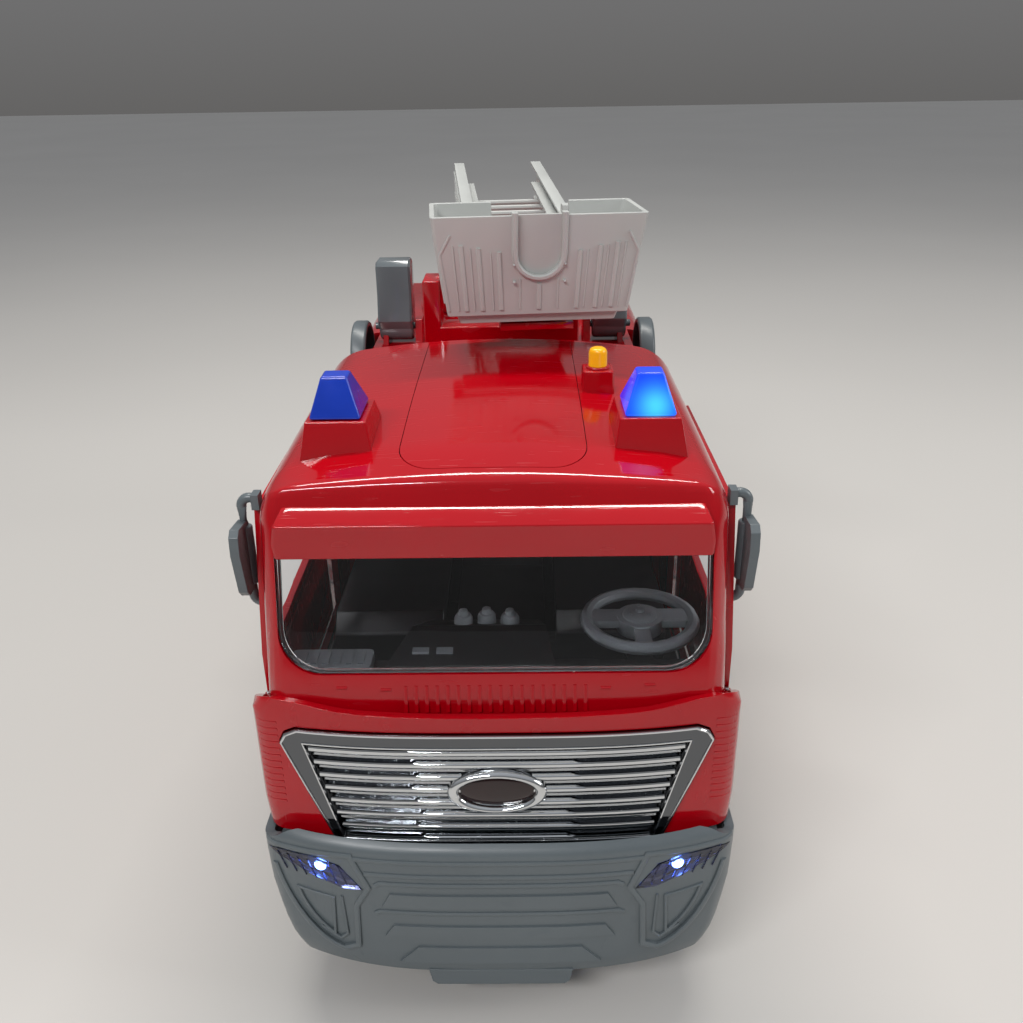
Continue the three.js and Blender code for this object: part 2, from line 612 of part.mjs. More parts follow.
// Three AA cells side by side on their contact strips.
function makeBatteryPack() {
  const middle = (BAY.front + BAY.back) / 2;
  const back = middle - CELL.length / 2;
  const tip = middle + CELL.length / 2;
  const backPlate = block(-20, 20, back - 0.8, back + 0.2, 30, 37);
  let pack = backPlate.add(block(-20, 20, tip - 0.2, tip + 0.8, 30, 37));
  for (const x of [-15.2, 0, 15.2]) {
    const cell = rod('y', CELL.radius, back, tip - 1.4, [x, 33.4], 20);
    pack = join(pack, cell, rod('y', 2.6, tip - 1.6, tip, [x, 33.4], 12));
  }
  return pack;
}

function makeAxle(y) {
  return rod('x', WHEEL.axle, -66.2, 66.2, [y, WHEEL.radius], 24);
}

function makeTyre(y, side) {
  const { radius, width, centreX, rim } = WHEEL;
  const inner = centreX - width / 2;
  const outer = centreX + width / 2;
  const profile = [
    [inner, rim + 1.4], [inner, radius - 5], [inner + 1.4, radius - 1.8], [inner + 4, radius],
    [outer - 4, radius], [outer - 1.4, radius - 1.8], [outer, radius - 5], [outer, rim + 1.4],
    [outer - 2, rim + 0.3], [inner + 2, rim + 0.3], [inner, rim + 1.4],
  ];
  return turned(profile, 32, y, WHEEL.radius, side);
}

function makeHub(y, side) {
  const { width, centreX, rim, axle } = WHEEL;
  const inner = centreX - width / 2 + 1;
  const outer = centreX + width / 2;
  const bore = axle + 0.06;
  const profile = [
    [inner, bore], [inner, 6], [outer - 12, 7], [outer - 12, rim - 3], [inner, rim - 2.4], [inner, rim],
    [outer - 0.6, rim], [outer - 0.6, rim - 2.4], [outer - 7, rim - 4], [outer - 8.6, 9],
    [outer - 4, 7], [outer - 0.5, 5], [outer - 0.5, bore], [inner, bore],
  ];
  let hub = turned(profile, 20, 0, 0);
  for (let i = 0; i < 5; i += 1) {
    const angle = (i / 5) * 2 * Math.PI;
    hub = cut(hub, rod('x', 2.3, 30, 80, [12.3 * Math.cos(angle), 12.3 * Math.sin(angle)], 8));
  }
  return sided(hub.translate([0, y, WHEEL.radius]), side);
}

// Rear body
function bodySolid(inset, back) {
  const { half, deck, shoulder } = BODY;
  const outline = new THREE.Shape();
  outline.moveTo(-half + inset, 20);
  outline.lineTo(half - inset, 20);
  outline.absarc(half - shoulder, deck - shoulder, shoulder - inset, 0, Math.PI / 2, false);
  outline.absarc(-half + shoulder, deck - shoulder, shoulder - inset, Math.PI / 2, Math.PI, false);
  return alongY(outline, BODY.front + inset, back - inset);
}

function makeBody() {
  const inside = bodySolid(WALL, BODY.back);
  let body = cut(bodySolid(0, BODY.back), block(-80, 80, 100, 400, -10, CHASSIS.top + 0.6));
  const liner = block(54.6, 70, REEL.y - 22, REEL.y + 22, REEL.z - 22, BODY.deck - 4);
  const pocket = block(57, 80, REEL.y - 19.5, REEL.y + 19.5, REEL.z - 19.5, 190);
  const spindleHole = rod('z', 11.4, 140, 170, [0, TURRET.y], 40);
  const turnRing = rod('z', 43, BODY.deck - 1, BODY.deck + 2, [0, TURRET.y], 44);
  body = cut(body, cut(inside, liner, mirrored(liner)), pocket, mirrored(pocket));
  body = cut(body.add(turnRing), wheelArch(WHEEL.rear, ARCH), spindleHole);
  for (const [, side] of SIDES) {
    body = cut(body, sided(shutterRecess(), side));
    body = cut(body, sided(rod('x', 3.2, 50, 60, [REEL.y, REEL.z], 20), side));
    body = cut(body.add(sided(armLugs(), side)), sided(rod('x', 1.6, 30, 59, [ARM.y, ARM.z], 16), side));
    body = cut(body, sided(block(46, 60, BODY.back - 6, BODY.back + 1, 64, 96), side));
  }
  return body;
}

// The two ears on the deck that carry a support arm.
function armLugs() {
  const { x, half, y, z } = ARM;
  const ear = shape([[y - 7, 158], [y + 9, 158], [y + 4, z + 3.4], [y - 3, z + 3.4]]);
  return join(alongX(ear, x - half - 3.1, x - half - 0.5), alongX(ear, x + half + 0.5, x + half + 2.4));
}

function shutterRecess() {
  const bays = join(block(65.2, 70, 168, 190, 60, 146), block(65.2, 70, 185, 245, 78, 126));
  return bays.subtract(wheelArch(WHEEL.rear, ARCH + 2.4));
}

function makeLadderRest() {
  const { half, front, back, top, plate } = REST;
  const base = block(-half, half, front, back, BODY.deck + GAP, 174);
  const post = block(half - plate, half, front, back, 173, top);
  return join(base, post, mirrored(post));
}

function makeArm(side) {
  const { x, half, y, z, top, foot } = ARM;
  const outline = new THREE.Shape();
  outline.moveTo(y - foot, z);
  outline.absarc(y, z, foot, Math.PI, 2 * Math.PI, false);
  outline.lineTo(y + 8, z + 8);
  outline.lineTo(y + 8, top - 3);
  outline.lineTo(y + 5, top);
  outline.lineTo(y - 4, top);
  outline.lineTo(y - 6.4, top - 2);
  outline.lineTo(y - 6.6, 182);
  outline.lineTo(y - 9.5, z + 4);
  const solid = alongX(outline, x - half + 0.8, x + half - 0.8, {
    bevelEnabled: true, bevelThickness: 0.8, bevelSize: 0.8, bevelOffset: -0.8, bevelSegments: 1,
  });
  return sided(solid.add(rod('x', 1.5, x - half - 3, x + half + 2.3, [y, z], 16)), side);
}

function makeReel(side) {
  const { radius, inner, outer, y, z } = REEL;
  const profile = [
    [54, 0], [54, 3], [outer - 2, 3], [outer - 2, radius - 2.2], [inner, radius - 2.2], [inner, radius - 0.6],
    [inner + 0.8, radius], [outer - 0.8, radius], [outer, radius - 0.8], [outer, 5], [outer + 1.2, 4],
    [outer + 1.2, 0],
  ];
  return turned(profile, 24, y, z, side);
}

function makeRearStep() {
  const outline = bowedBack(66, 346.4, LENGTH);
  return alongZ(outline, 26, 52);
}

function bowedBack(half, front, back) {
  const outline = new THREE.Shape();
  outline.moveTo(-half, front);
  outline.lineTo(half, front);
  outline.lineTo(half, back - 4);
  outline.quadraticCurveTo(half - 1, back, half - 8, back);
  outline.lineTo(-half + 8, back);
  outline.quadraticCurveTo(-half + 1, back, -half, back - 4);
  return outline;
}

function makeTailLamp(side) {
  return sided(block(46.4, 59.6, BODY.back - 5.6, BODY.back + 1.4, 64.4, 95.6), side);
}

function makeSpeaker() {
  const cone = new THREE.CylinderGeometry(11, 19, 12, 24).rotateX(Math.PI / 2).translate(0, 181, 56.2);
  return toSolid(cone).add(rod('z', 11, 62, 68, [0, 181], 24));
}

function makeBoard() {
  const plate = block(-26, 26, 205, 250, 52, 53.6);
  const chips = [block(-18, -6, 212, 224, 53.5, 56), block(4, 20, 214, 222, 53.5, 57)];
  return join(plate, ...chips, block(-10, 8, 234, 244, 53.5, 55.4));
}

// Turntable, ladder and bucket, drawn about the turntable's own centre on the deck
function makeTurret() {
  const { radius, plate, plateX, pinY, pinZ } = TURRET;
  const disc = rod('z', radius, 2.4, 9, [0, 0], 40);
  const spindle = rod('z', 11, -14, 3, [0, 0], 32);
  const cheek = shape([
    [-30, 8.8], [30, 8.8], [26, 30], [pinY + 6, pinZ + 6], [pinY - 6, pinZ + 6], [-22, 24],
  ]);
  const cheeks = join(alongX(cheek, plateX - plate, plateX), alongX(cheek, -plateX, -plateX + plate));
  const bridge = block(-plateX, plateX, -30, -24, 8.8, 18);
  return cut(join(disc, spindle, cheeks, bridge), rod('x', 2.1, -50, 50, [pinY, pinZ], 20));
}

function makeTurretPin() {
  return rod('x', 2, -TURRET.plateX - 0.6, TURRET.plateX + 0.6, [TURRET.pinY, TURRET.pinZ], 20);
}

// Ladder sections, drawn about the turret pin, running forwards along -Y
function rung(y, half, z) {
  return rod('x', 1.3, -half, half, [y, z], 8);
}

function makeLadderBase() {
  const { half, front, tail, low, high, rung: pitch } = LADDER;
  const rail = shape([
    [front, low + 2], [front + 4, low], [tail - 2, low], [tail, low + 3], [tail, high - 3], [tail - 3, high],
    [front, high],
  ]);
  const lug = shape([[-14, low + 1], [-7, -5], [7, -5], [16, low + 1]]);
  const sideRail = join(
    alongX(rail, half - 1.6, half),
    block(half - 5, half, front, tail - 3, high - 1.2, high),
    block(half - 3.4, half, front + 4, tail - 2, low, low + 1.2),
    alongX(lug, half - 2, TURRET.plateX - TURRET.plate - 0.6),
  );
  let ladder = sideRail.add(mirrored(sideRail));
  for (let y = front + 6; y < tail - 4; y += pitch) ladder = ladder.add(rung(y, half - 1, low + 1));
  return cut(ladder, rod('x', 2.1, -50, 50, [0, 0], 20));
}

function makeLadderExtension() {
  const { half, front, back, low, high } = EXTENSION;
  const rail = shape([[front, low], [back, low], [back, high], [front + 3, high], [front, high - 3]]);
  const tip = [front + 1, low + 3];
  const sideRail = join(
    alongX(rail, half - 1.5, half),
    block(half - 4.5, half, front + 3, back, high - 1.2, high),
    rod('x', 2.6, half - 5, half - 0.1, tip, 16),
  );
  let ladder = sideRail.add(mirrored(sideRail));
  for (let y = front + 8; y < back; y += LADDER.rung) ladder = ladder.add(rung(y, half - 1, low + 5.5));
  return cut(ladder, rod('x', 1.3, -50, 50, tip, 16));
}

function tray(inset, z0, z1, front, back) {
  const { topHalf, bottomHalf } = BUCKET;
  const lowBox = [-bottomHalf + inset, bottomHalf - inset, front[0] + inset, back[0] - inset];
  const highBox = [-topHalf + inset, topHalf - inset, front[1] + inset, back[1] - inset];
  return taperedBlock(lowBox, highBox, z0, z1);
}

// A round-ended slot in (x, z), open at the bucket's rim.
function slotOutline(half, rim) {
  const outline = new THREE.Shape();
  const centre = BUCKET.height - 13;
  outline.moveTo(-half, rim);
  outline.lineTo(-half, centre);
  outline.absarc(0, centre, half, Math.PI, 2 * Math.PI, false);
  outline.lineTo(half, rim);
  return outline;
}

function makeBucket() {
  const { bottom, height, wall } = BUCKET;
  const outer = tray(0, bottom, height, [-13, -20], [14, 17]);
  const inner = tray(wall, bottom + wall, height + 0.01, [-13, -20], [14, 17]);
  const notch = slotOutline(8.2, height + 2);
  const cup = slotOutline(9.4, height);
  const pocket = cut(alongY(cup, -20.4, -14), alongY(notch, -30, -15));
  let bucket = cut(outer, inner, alongY(notch, -30, -14));
  bucket = bucket.add(pocket.intersect(join(outer, outer.translate([0, -0.8, 0]))));
  bucket = cut(bucket, block(-14, 14, 10, 30, 26, 50));
  const foot = taperedBlock([-27.4, 27.4, -10.4, 12], [-28.4, 28.4, -11, 12.6], -1, bottom + 0.5);
  return bucket.add(foot);
}

// The carrier turns on two trunnions in the tip of the ladder, and the bucket swivels on it.
function makeBracket() {
  const [y, z] = BUCKET.hinge;
  const plate = block(-13, 13, -8, 27, -4.6, -2.2);
  const pivot = rod('z', 3.2, -3, -1.4, [0, 0], 16);
  const cheek = shape([
    [22, -4.6], [27.5, -4.6], [y + 2.4, z - 2], [y + 2.6, z + 0.8], [y, z + 2.8], [y - 2.6, z + 0.4],
    [25, 1], [22, -2.2],
  ]);
  const cheeks = join(alongX(cheek, 8, 11), alongX(cheek, -11, -8));
  const tube = rod('x', 2.6, -13.2, 13.2, BUCKET.hinge, 16);
  const trunnions = rod('x', 1.2, -17.6, 17.6, BUCKET.hinge, 16);
  return join(plate, pivot, cheeks, tube, trunnions);
}

// Assembly
function node(name, solid, look) {
  const mesh = new THREE.Mesh(toGeometry(solid), new THREE.MeshStandardMaterial(look));
  mesh.name = name;
  return mesh;
}

const truck = new THREE.Group();
truck.position.y = -LENGTH / 2;

const fixed = [
  ['cab_shell', makeCabShell(), COLOURS.red],
  ['roof_panel', makeRoofPanel(), COLOURS.red],
  ['sun_visor', makeVisor(), COLOURS.red],
  ['windscreen', makeWindscreen(), COLOURS.clear],
  ['lower_front_panel', makeLowerPanel(), COLOURS.red],
  ['grille', makeGrille(), COLOURS.chrome],
  ['badge_insert', makeBadgeInsert(), COLOURS.smoke],
  ['bumper', makeBumper(), COLOURS.grey],
  ['horn_button', makeButton(), COLOURS.yellow],
  ['button_spring', makeButtonSpring(), COLOURS.steel],
  ['button_switch', makeButtonSwitch(), COLOURS.dark],
  ['cab_floor', makeCabFloor(), COLOURS.dark],
  ['dashboard', makeDashboard(), COLOURS.dark],
  ['steering_wheel', makeSteeringWheel(), COLOURS.grey],
  ['chassis', makeChassis(), COLOURS.dark],
  ['cover_screw', makeCoverScrew(), COLOURS.steel],
  ['battery_cover', makeBatteryCover(), COLOURS.dark],
  ['front_axle', makeAxle(WHEEL.front), COLOURS.steel],
  ['rear_axle', makeAxle(WHEEL.rear), COLOURS.steel],
  ['rear_body', makeBody(), COLOURS.red],
  ['ladder_rest', makeLadderRest(), COLOURS.red],
  ['rear_step', makeRearStep(), COLOURS.grey],
  ['speaker', makeSpeaker(), COLOURS.dark],
  ['circuit_board', makeBoard(), COLOURS.board],
  ['battery_pack', makeBatteryPack(), COLOURS.cell],
  ['bench_seat', makeBenchSeat(), COLOURS.dark],
  ['headlamp_board', makeHeadlampBoard(), COLOURS.board],
  ['beacon_board', makeBeaconBoard(), COLOURS.board],
];
for (const [name, solid, look] of fixed) truck.add(node(name, solid, look));

for (const [word, side] of SIDES) {
  const paired = [
    ['headlamp_lens', makeHeadlamp(side), COLOURS.clear],
    ['beacon_lens', makeBeaconLens(side), COLOURS.blue],
    ['door', makeDoor(side), COLOURS.red],
    ['door_pin', makeDoorPin(side), COLOURS.steel],
    ['tail_lamp', makeTailLamp(side), COLOURS.lampRed],
    ['mirror_arm', makeMirrorArm(side), COLOURS.grey],
    ['mirror_head', makeMirrorHead(side), COLOURS.grey],
    ['tyre_front', makeTyre(WHEEL.front, side), COLOURS.tyre],
    ['tyre_rear', makeTyre(WHEEL.rear, side), COLOURS.tyre],
    ['hub_front', makeHub(WHEEL.front, side), COLOURS.light],
    ['hub_rear', makeHub(WHEEL.rear, side), COLOURS.light],
    ['support_arm', makeArm(side), COLOURS.grey],
    ['hose_reel', makeReel(side), COLOURS.grey],
  ];
  for (const [name, solid, look] of paired) truck.add(node(`${name}_${word}`, solid, look));
}

const turntable = new THREE.Group();
turntable.position.set(0, TURRET.y, BODY.deck);
turntable.rotation.z = THREE.MathUtils.degToRad(TURRET.yaw);
turntable.add(node('turret', makeTurret(), COLOURS.red));
turntable.add(node('turret_pin', makeTurretPin(), COLOURS.steel));

const ladder = new THREE.Group();
ladder.position.set(0, TURRET.pinY, TURRET.pinZ);
ladder.rotation.x = THREE.MathUtils.degToRad(LADDER.slope);
ladder.add(node('ladder_base', makeLadderBase(), COLOURS.light));
ladder.add(node('ladder_extension', makeLadderExtension(), COLOURS.light));
turntable.add(ladder);

const basket = new THREE.Group();
basket.position.set(0, BUCKET.y, BUCKET.z - BODY.deck);
basket.add(node('bucket_bracket', makeBracket(), COLOURS.red));
const tub = new THREE.Group();
tub.add(node('rescue_bucket', makeBucket(), COLOURS.light));
basket.add(tub);
turntable.add(basket);
truck.add(turntable);

const assembly = new THREE.Group();
assembly.add(truck);

export default assembly;
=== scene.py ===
# Toy fire engine: its moulded, plated, clear and rubber pieces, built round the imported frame.
# Shapes are drawn in millimetres. y counts backwards from the front of the bumper, +X is the
# truck's left side and +Z is up. The matrices under the sizes put them in the frame's metres.
import math

import bmesh
import bpy
from mathutils import Matrix, Vector
from mathutils.bvhtree import BVHTree


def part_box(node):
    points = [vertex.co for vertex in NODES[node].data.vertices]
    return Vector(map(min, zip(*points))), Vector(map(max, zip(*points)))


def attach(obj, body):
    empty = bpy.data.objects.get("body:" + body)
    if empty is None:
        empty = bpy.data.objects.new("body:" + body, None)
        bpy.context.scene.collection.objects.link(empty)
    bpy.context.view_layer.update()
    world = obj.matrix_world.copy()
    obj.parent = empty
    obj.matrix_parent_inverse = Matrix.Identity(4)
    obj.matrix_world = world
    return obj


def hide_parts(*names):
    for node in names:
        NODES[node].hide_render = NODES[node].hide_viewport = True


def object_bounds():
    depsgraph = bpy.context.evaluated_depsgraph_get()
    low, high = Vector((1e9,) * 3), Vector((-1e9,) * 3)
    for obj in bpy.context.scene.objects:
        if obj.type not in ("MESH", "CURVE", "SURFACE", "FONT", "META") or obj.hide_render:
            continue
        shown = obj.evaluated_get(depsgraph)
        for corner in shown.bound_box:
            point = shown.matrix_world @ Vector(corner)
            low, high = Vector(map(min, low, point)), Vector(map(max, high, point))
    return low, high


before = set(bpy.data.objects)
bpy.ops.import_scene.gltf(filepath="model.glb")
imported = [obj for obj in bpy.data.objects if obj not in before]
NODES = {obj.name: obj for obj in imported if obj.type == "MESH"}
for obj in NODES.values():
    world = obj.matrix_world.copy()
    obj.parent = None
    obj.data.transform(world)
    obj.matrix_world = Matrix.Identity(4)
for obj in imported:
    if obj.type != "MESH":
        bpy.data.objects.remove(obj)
CAD_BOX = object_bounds()

MM = 0.001
FRONT = CAD_BOX[0].y
TRUCK = Matrix.Translation((0, FRONT, 0)) @ Matrix.Scale(MM, 4)
SIDES = (("left", 1), ("right", -1))


def span(node):
    """Lowest and highest corner of a CAD node, in the drawing's millimetres."""
    low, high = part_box(node)
    return TRUCK.inverted() @ low, TRUCK.inverted() @ high


# ---------------------------------------------------------------- sizes
# Halves are half widths, y counts backwards and z upwards, all in millimetres. LEAN is how far the
# cab's front falls back for each millimetre of height.
HALF = span("rear_body")[1].x
CAB_BACK = 152
ROOF = 178
CROWN = 3.5
SHELL_FOOT = 46
SHOULDER = {"z": 158, "in": 15}
CORNER = {"across": 7, "along": 12}
LEAN = 0.2714
BROW_Y = 28.1
ROOF_EDGE_Y = 52
WALL = 2.4
GLASS = {"half": 60.6, "bottom": 117.8, "top": 153, "corner": 12}
PANEL = {"half": 26.5, "front": 36, "corner": 10}
LOWER = {"half": 70.5, "front": 8.6, "bow": 6.6, "bottom": 65, "top": 108.5, "back": 26.5}
BUMPER = {"half": 71, "bow": 11.2, "top": 69, "bottom": 19.5, "back": 44}
BEACON = {"x": 44.7, "front": 48, "base": 182.6, "height": 11.6}
BUTTON = {"x": 33, "y": 95}
BUCKET = {"low": 2.1, "high": 36.5, "foot": 31.6, "rim": 36.4, "wall": 1.7, "slot": 8.0, "round": 23.6}
BOX = {"half": 66.5, "front": 155, "back": 346, "deck": 160, "round": 9, "foot": 46}
WHEEL = {"front": 82, "rear": 272, "radius": 32, "arch": 37.5}
TURRET_Y = 290
STEERING = {"x": 43.8, "y": 47, "z": 117}
VIEW = {"focal": 34.66276, "sensor": 36, "turns": (-0.813, 24.735, -0.948),
        "from": (0.00864, -0.3929, 0.2750)}
TURRET_TURN, LADDER_SLOPE = math.radians(5), math.radians(4.3)
TURNTABLE = TRUCK @ Matrix.Translation((0, TURRET_Y, BOX["deck"])) @ Matrix.Rotation(TURRET_TURN, 4, "Z")
LADDER = TURNTABLE @ Matrix.Translation((0, 12, 38)) @ Matrix.Rotation(LADDER_SLOPE, 4, "X")
TUB = TURNTABLE @ Matrix.Translation((0, -152, 31.5))


# ---------------------------------------------------------------- materials
def paint(code, alpha=1.0):
    """A colour written as an sRGB hex value, as the linear values that shaders use."""
    channels = [int(code[i:i + 2], 16) / 255 for i in (1, 3, 5)]
    linear = [c / 12.92 if c <= 0.04045 else ((c + 0.055) / 1.055) ** 2.4 for c in channels]
    return (*linear, alpha)


def add(tree, kind, inputs=None, **settings):
    """Adds a shader node with its settings; an input is a value or the output that feeds it."""
    made = tree.nodes.new("ShaderNode" + kind)
    for name, value in settings.items():
        setattr(made, name, value)
    for socket, value in (inputs or {}).items():
        if isinstance(value, bpy.types.NodeSocket):
            tree.links.new(value, made.inputs[socket])
        else:
            made.inputs[socket].default_value = value
    return made


def start(name, **values):
    """A new material with its principled shader, whose even values are set straight on the shader."""
    material = bpy.data.materials.new(name)
    material.use_nodes = True
    tree = material.node_tree
    shader = tree.nodes["Principled BSDF"]
    for socket, value in values.items():
        shader.inputs[socket.replace("_", " ")].default_value = value
    return material, tree, shader


def per_mm(size):
    """The texture scale that makes a feature of this size in millimetres."""
    return 1 / (size * MM)


def ramp(tree, value, low, high, start_at=0.0, end_at=1.0):
    """The value, stretched so that start_at..end_at becomes low..high."""
    return add(tree, "MapRange", {"Value": value, "From Min": start_at, "From Max": end_at,
                                  "To Min": low, "To Max": high}).outputs["Result"]


def noise(tree, spot, size, detail=2.0):
    """Soft cloudy variation whose patches are about this many millimetres across."""
    made = add(tree, "TexNoise", {"Vector": spot, "Scale": per_mm(size), "Detail": detail})
    return made.outputs["Fac"]


def scratches(tree, spot, length, width, turn, amount):
    """Hairlines of a handled toy: noise drawn out along one direction, cut down to its rare peaks."""
    drawn = add(tree, "Mapping", {"Vector": spot, "Rotation": turn,
                                  "Scale": (per_mm(length), per_mm(width), per_mm(length * 0.6))})
    lines = add(tree, "TexNoise", {"Vector": drawn.outputs["Vector"], "Scale": 1.0, "Detail": 1.0})
    return ramp(tree, lines.outputs["Fac"], 0.0, 1.0, amount, amount + 0.03)


def tinted(tree, colour, spot, size, spread):
    """The pigment's slow change in depth across a moulding."""
    shade = ramp(tree, noise(tree, spot, size), 1 - spread, 1 + spread, 0.3, 0.7)
    return add(tree, "HueSaturation", {"Color": paint(colour), "Value": shade}).outputs["Color"]


def moulded(name, colour, ior, gloss, spread, grain, depth, worn=0.0):
    """An injection-moulded plastic: pigment drift, a polished or spark-eroded skin, and hairlines."""
    material, tree, shader = start(name, IOR=ior)
    spot = add(tree, "TexCoord").outputs["Object"]
    tree.links.new(tinted(tree, colour, spot, 38, 0.05), shader.inputs["Base Color"])
    dull = ramp(tree, noise(tree, spot, 14, 4), gloss - spread, gloss + spread, 0.3, 0.7)
    if worn:
        first = scratches(tree, spot, 16, 0.5, (0.3, 0.1, 0.7), 0.70)
        second = scratches(tree, spot, 12, 0.4, (0.2, 0.4, 2.1), 0.71)
        both = add(tree, "Math", {0: first, 1: second}, operation="MAXIMUM").outputs[0]
        dull = add(tree, "Math", {0: both, 1: worn, 2: dull}, operation="MULTIPLY_ADD").outputs[0]
    tree.links.new(dull, shader.inputs["Roughness"])
    skin = add(tree, "Bump", {"Height": noise(tree, spot, grain, 3), "Distance": depth * MM,
                              "Strength": 1.0})
    tree.links.new(skin.outputs["Normal"], shader.inputs["Normal"])
    return material


def red_abs():
    """Signal red ABS from a polished mould: wet gloss over a faint flow ripple, with hairlines from play."""
    return moulded("red_abs_polished", "#a6000f", 1.54, 0.09, 0.03, 7, 0.012, worn=0.2)


def grey_abs():
    """Slate grey ABS from a fine-eroded mould: a soft satin sheen."""
    return moulded("grey_abs_satin", "#5a6266", 1.54, 0.36, 0.05, 0.5, 0.012, worn=0.15)


def dark_abs():
    """Charcoal ABS of the cab fittings: satin, nearly black away from the light."""
    return moulded("dark_abs_satin", "#0d0e10", 1.54, 0.4, 0.06, 0.6, 0.015)


def light_abs():
    """Pale grey ABS of the ladder and bucket: satin, with a slightly warm shade."""
    return moulded("pale_grey_abs_satin", "#b4b6b3", 1.54, 0.38, 0.05, 0.6, 0.01, worn=0.1)


def polished_grey_abs():
    """The same grey ABS from a polished mould, for the arms on the deck."""
    return moulded("grey_abs_polished", "#62696d", 1.54, 0.1, 0.03, 5, 0.01, worn=0.1)


def wheel_grey_abs():
    """Mid grey ABS of the steering wheel and dash fittings: satin."""
    return moulded("mid_grey_abs", "#84898c", 1.54, 0.33, 0.05, 0.6, 0.01)


def hub_abs():
    """Silver-grey ABS of the wheel hubs and shutter slats: satin."""
    return moulded("silver_grey_abs", "#9a9d9f", 1.54, 0.3, 0.05, 0.6, 0.01)


def yellow_abs():
    """Golden yellow ABS of the horn button: polished, a little translucent in look."""
    return moulded("yellow_abs_polished", "#ffb400", 1.54, 0.22, 0.03, 4, 0.01)


def chrome_plate(name, colour):
    """Vacuum-metallised plastic: a mirror over moulding ripple, with tiny pinholes in the lacquer."""
    material, tree, shader = start(name, Metallic=1.0)
    spot = add(tree, "TexCoord").outputs["Object"]
    tree.links.new(tinted(tree, colour, spot, 20, 0.03), shader.inputs["Base Color"])
    pits = ramp(tree, noise(tree, spot, 1.2, 4), 0.05, 0.35, 0.62, 0.78)
    tree.links.new(pits, shader.inputs["Roughness"])
    ripple = add(tree, "Bump", {"Height": noise(tree, spot, 5, 2), "Distance": 0.03 * MM,
                                "Strength": 1.0})
    tree.links.new(ripple.outputs["Normal"], shader.inputs["Normal"])
    return material


def steel():
    """Bright zinc-plated steel wire and rod: a metal sheen that is finely mottled."""
    material, tree, shader = start("zinc_plated_steel", Metallic=1.0)
    spot = add(tree, "TexCoord").outputs["Object"]
    tree.links.new(tinted(tree, "#b9bcc0", spot, 9, 0.06), shader.inputs["Base Color"])
    tree.links.new(ramp(tree, noise(tree, spot, 0.8, 3), 0.2, 0.4, 0.3, 0.7), shader.inputs["Roughness"])
    return material


def see_through(name, colour, ior, roughness, haze):
    """A moulded see-through polystyrene: sharp refraction, a slow ripple and fine dull hairlines."""
    material, tree, shader = start(name, IOR=ior, Transmission_Weight=1.0)
    spot = add(tree, "TexCoord").outputs["Object"]
    tree.links.new(tinted(tree, colour, spot, 60, 0.02), shader.inputs["Base Color"])
    lines = scratches(tree, spot, 9, 0.3, (0.4, 0.2, 0.5), 0.76)
    tree.links.new(ramp(tree, lines, roughness, haze), shader.inputs["Roughness"])
    ripple = add(tree, "Bump", {"Height": noise(tree, spot, 18, 1), "Distance": 0.01 * MM})
    tree.links.new(ripple.outputs["Normal"], shader.inputs["Normal"])
    return material


def clear_ps():
    """Clear polystyrene of the windscreen."""
    return see_through("clear_polystyrene", "#f4f6fa", 1.45, 0.01, 0.12)


def violet_ps():
    """Violet-tinted polystyrene of the headlamp lenses."""
    return see_through("lamp_polystyrene", "#7f86b4", 1.59, 0.05, 0.3)


def smoke_ps():
    """Dark smoked polystyrene of the blank oval plate: deep, with a reddish tint."""
    material, tree, shader = start("smoked_polystyrene", IOR=1.59, Roughness=0.08)
    spot = add(tree, "TexCoord").outputs["Object"]
    tree.links.new(tinted(tree, "#1d0506", spot, 12, 0.25), shader.inputs["Base Color"])
    ripple = add(tree, "Bump", {"Height": noise(tree, spot, 6, 1), "Distance": 0.02 * MM})
    tree.links.new(ripple.outputs["Normal"], shader.inputs["Normal"])
    return material


def blue_ps(name, lit):
    """Transparent blue polystyrene of a beacon, whose moulding is polished outside and dull inside; it is
    drawn with one softly varied gloss all over.
    """
    material, tree, shader = start(name, IOR=1.59, Transmission_Weight=0.12)
    spot = add(tree, "TexCoord").outputs["Object"]
    colour = tinted(tree, "#0638b8", spot, 10, 0.06)
    tree.links.new(colour, shader.inputs["Base Color"])
    tree.links.new(ramp(tree, noise(tree, spot, 5, 2), 0.1, 0.2, 0.3, 0.7), shader.inputs["Roughness"])
    if lit:
        x = BEACON["x"] * MM
        lamp = Vector((x + 0.0012, FRONT + (BEACON["front"] + 5) * MM, (BEACON["base"] + 1.6) * MM))
        reach = add(tree, "VectorMath", {0: spot, 1: lamp}, operation="DISTANCE").outputs["Value"]
        glow = ramp(tree, reach, 1.0, 0.0, 0.002, 0.0125)
        power = add(tree, "Math", {0: glow, 1: 2.2}, operation="POWER").outputs[0]
        hot = add(tree, "ValToRGB", {"Fac": power})
        hot.color_ramp.elements[0].color = paint("#0030ff")
        hot.color_ramp.elements[1].color = paint("#4fe0ff")
        tree.links.new(hot.outputs["Color"], shader.inputs["Emission Color"])
        tree.links.new(ramp(tree, power, 0.55, 2.2), shader.inputs["Emission Strength"])
    return material


def red_ps():
    """Transparent red polystyrene of the tail lamps."""
    material, tree, shader = start("red_polystyrene", IOR=1.59, Transmission_Weight=0.4)
    spot = add(tree, "TexCoord").outputs["Object"]
    tree.links.new(tinted(tree, "#d8141a", spot, 8, 0.08), shader.inputs["Base Color"])
    tree.links.new(ramp(tree, noise(tree, spot, 4, 2), 0.08, 0.18, 0.3, 0.7), shader.inputs["Roughness"])
    return material


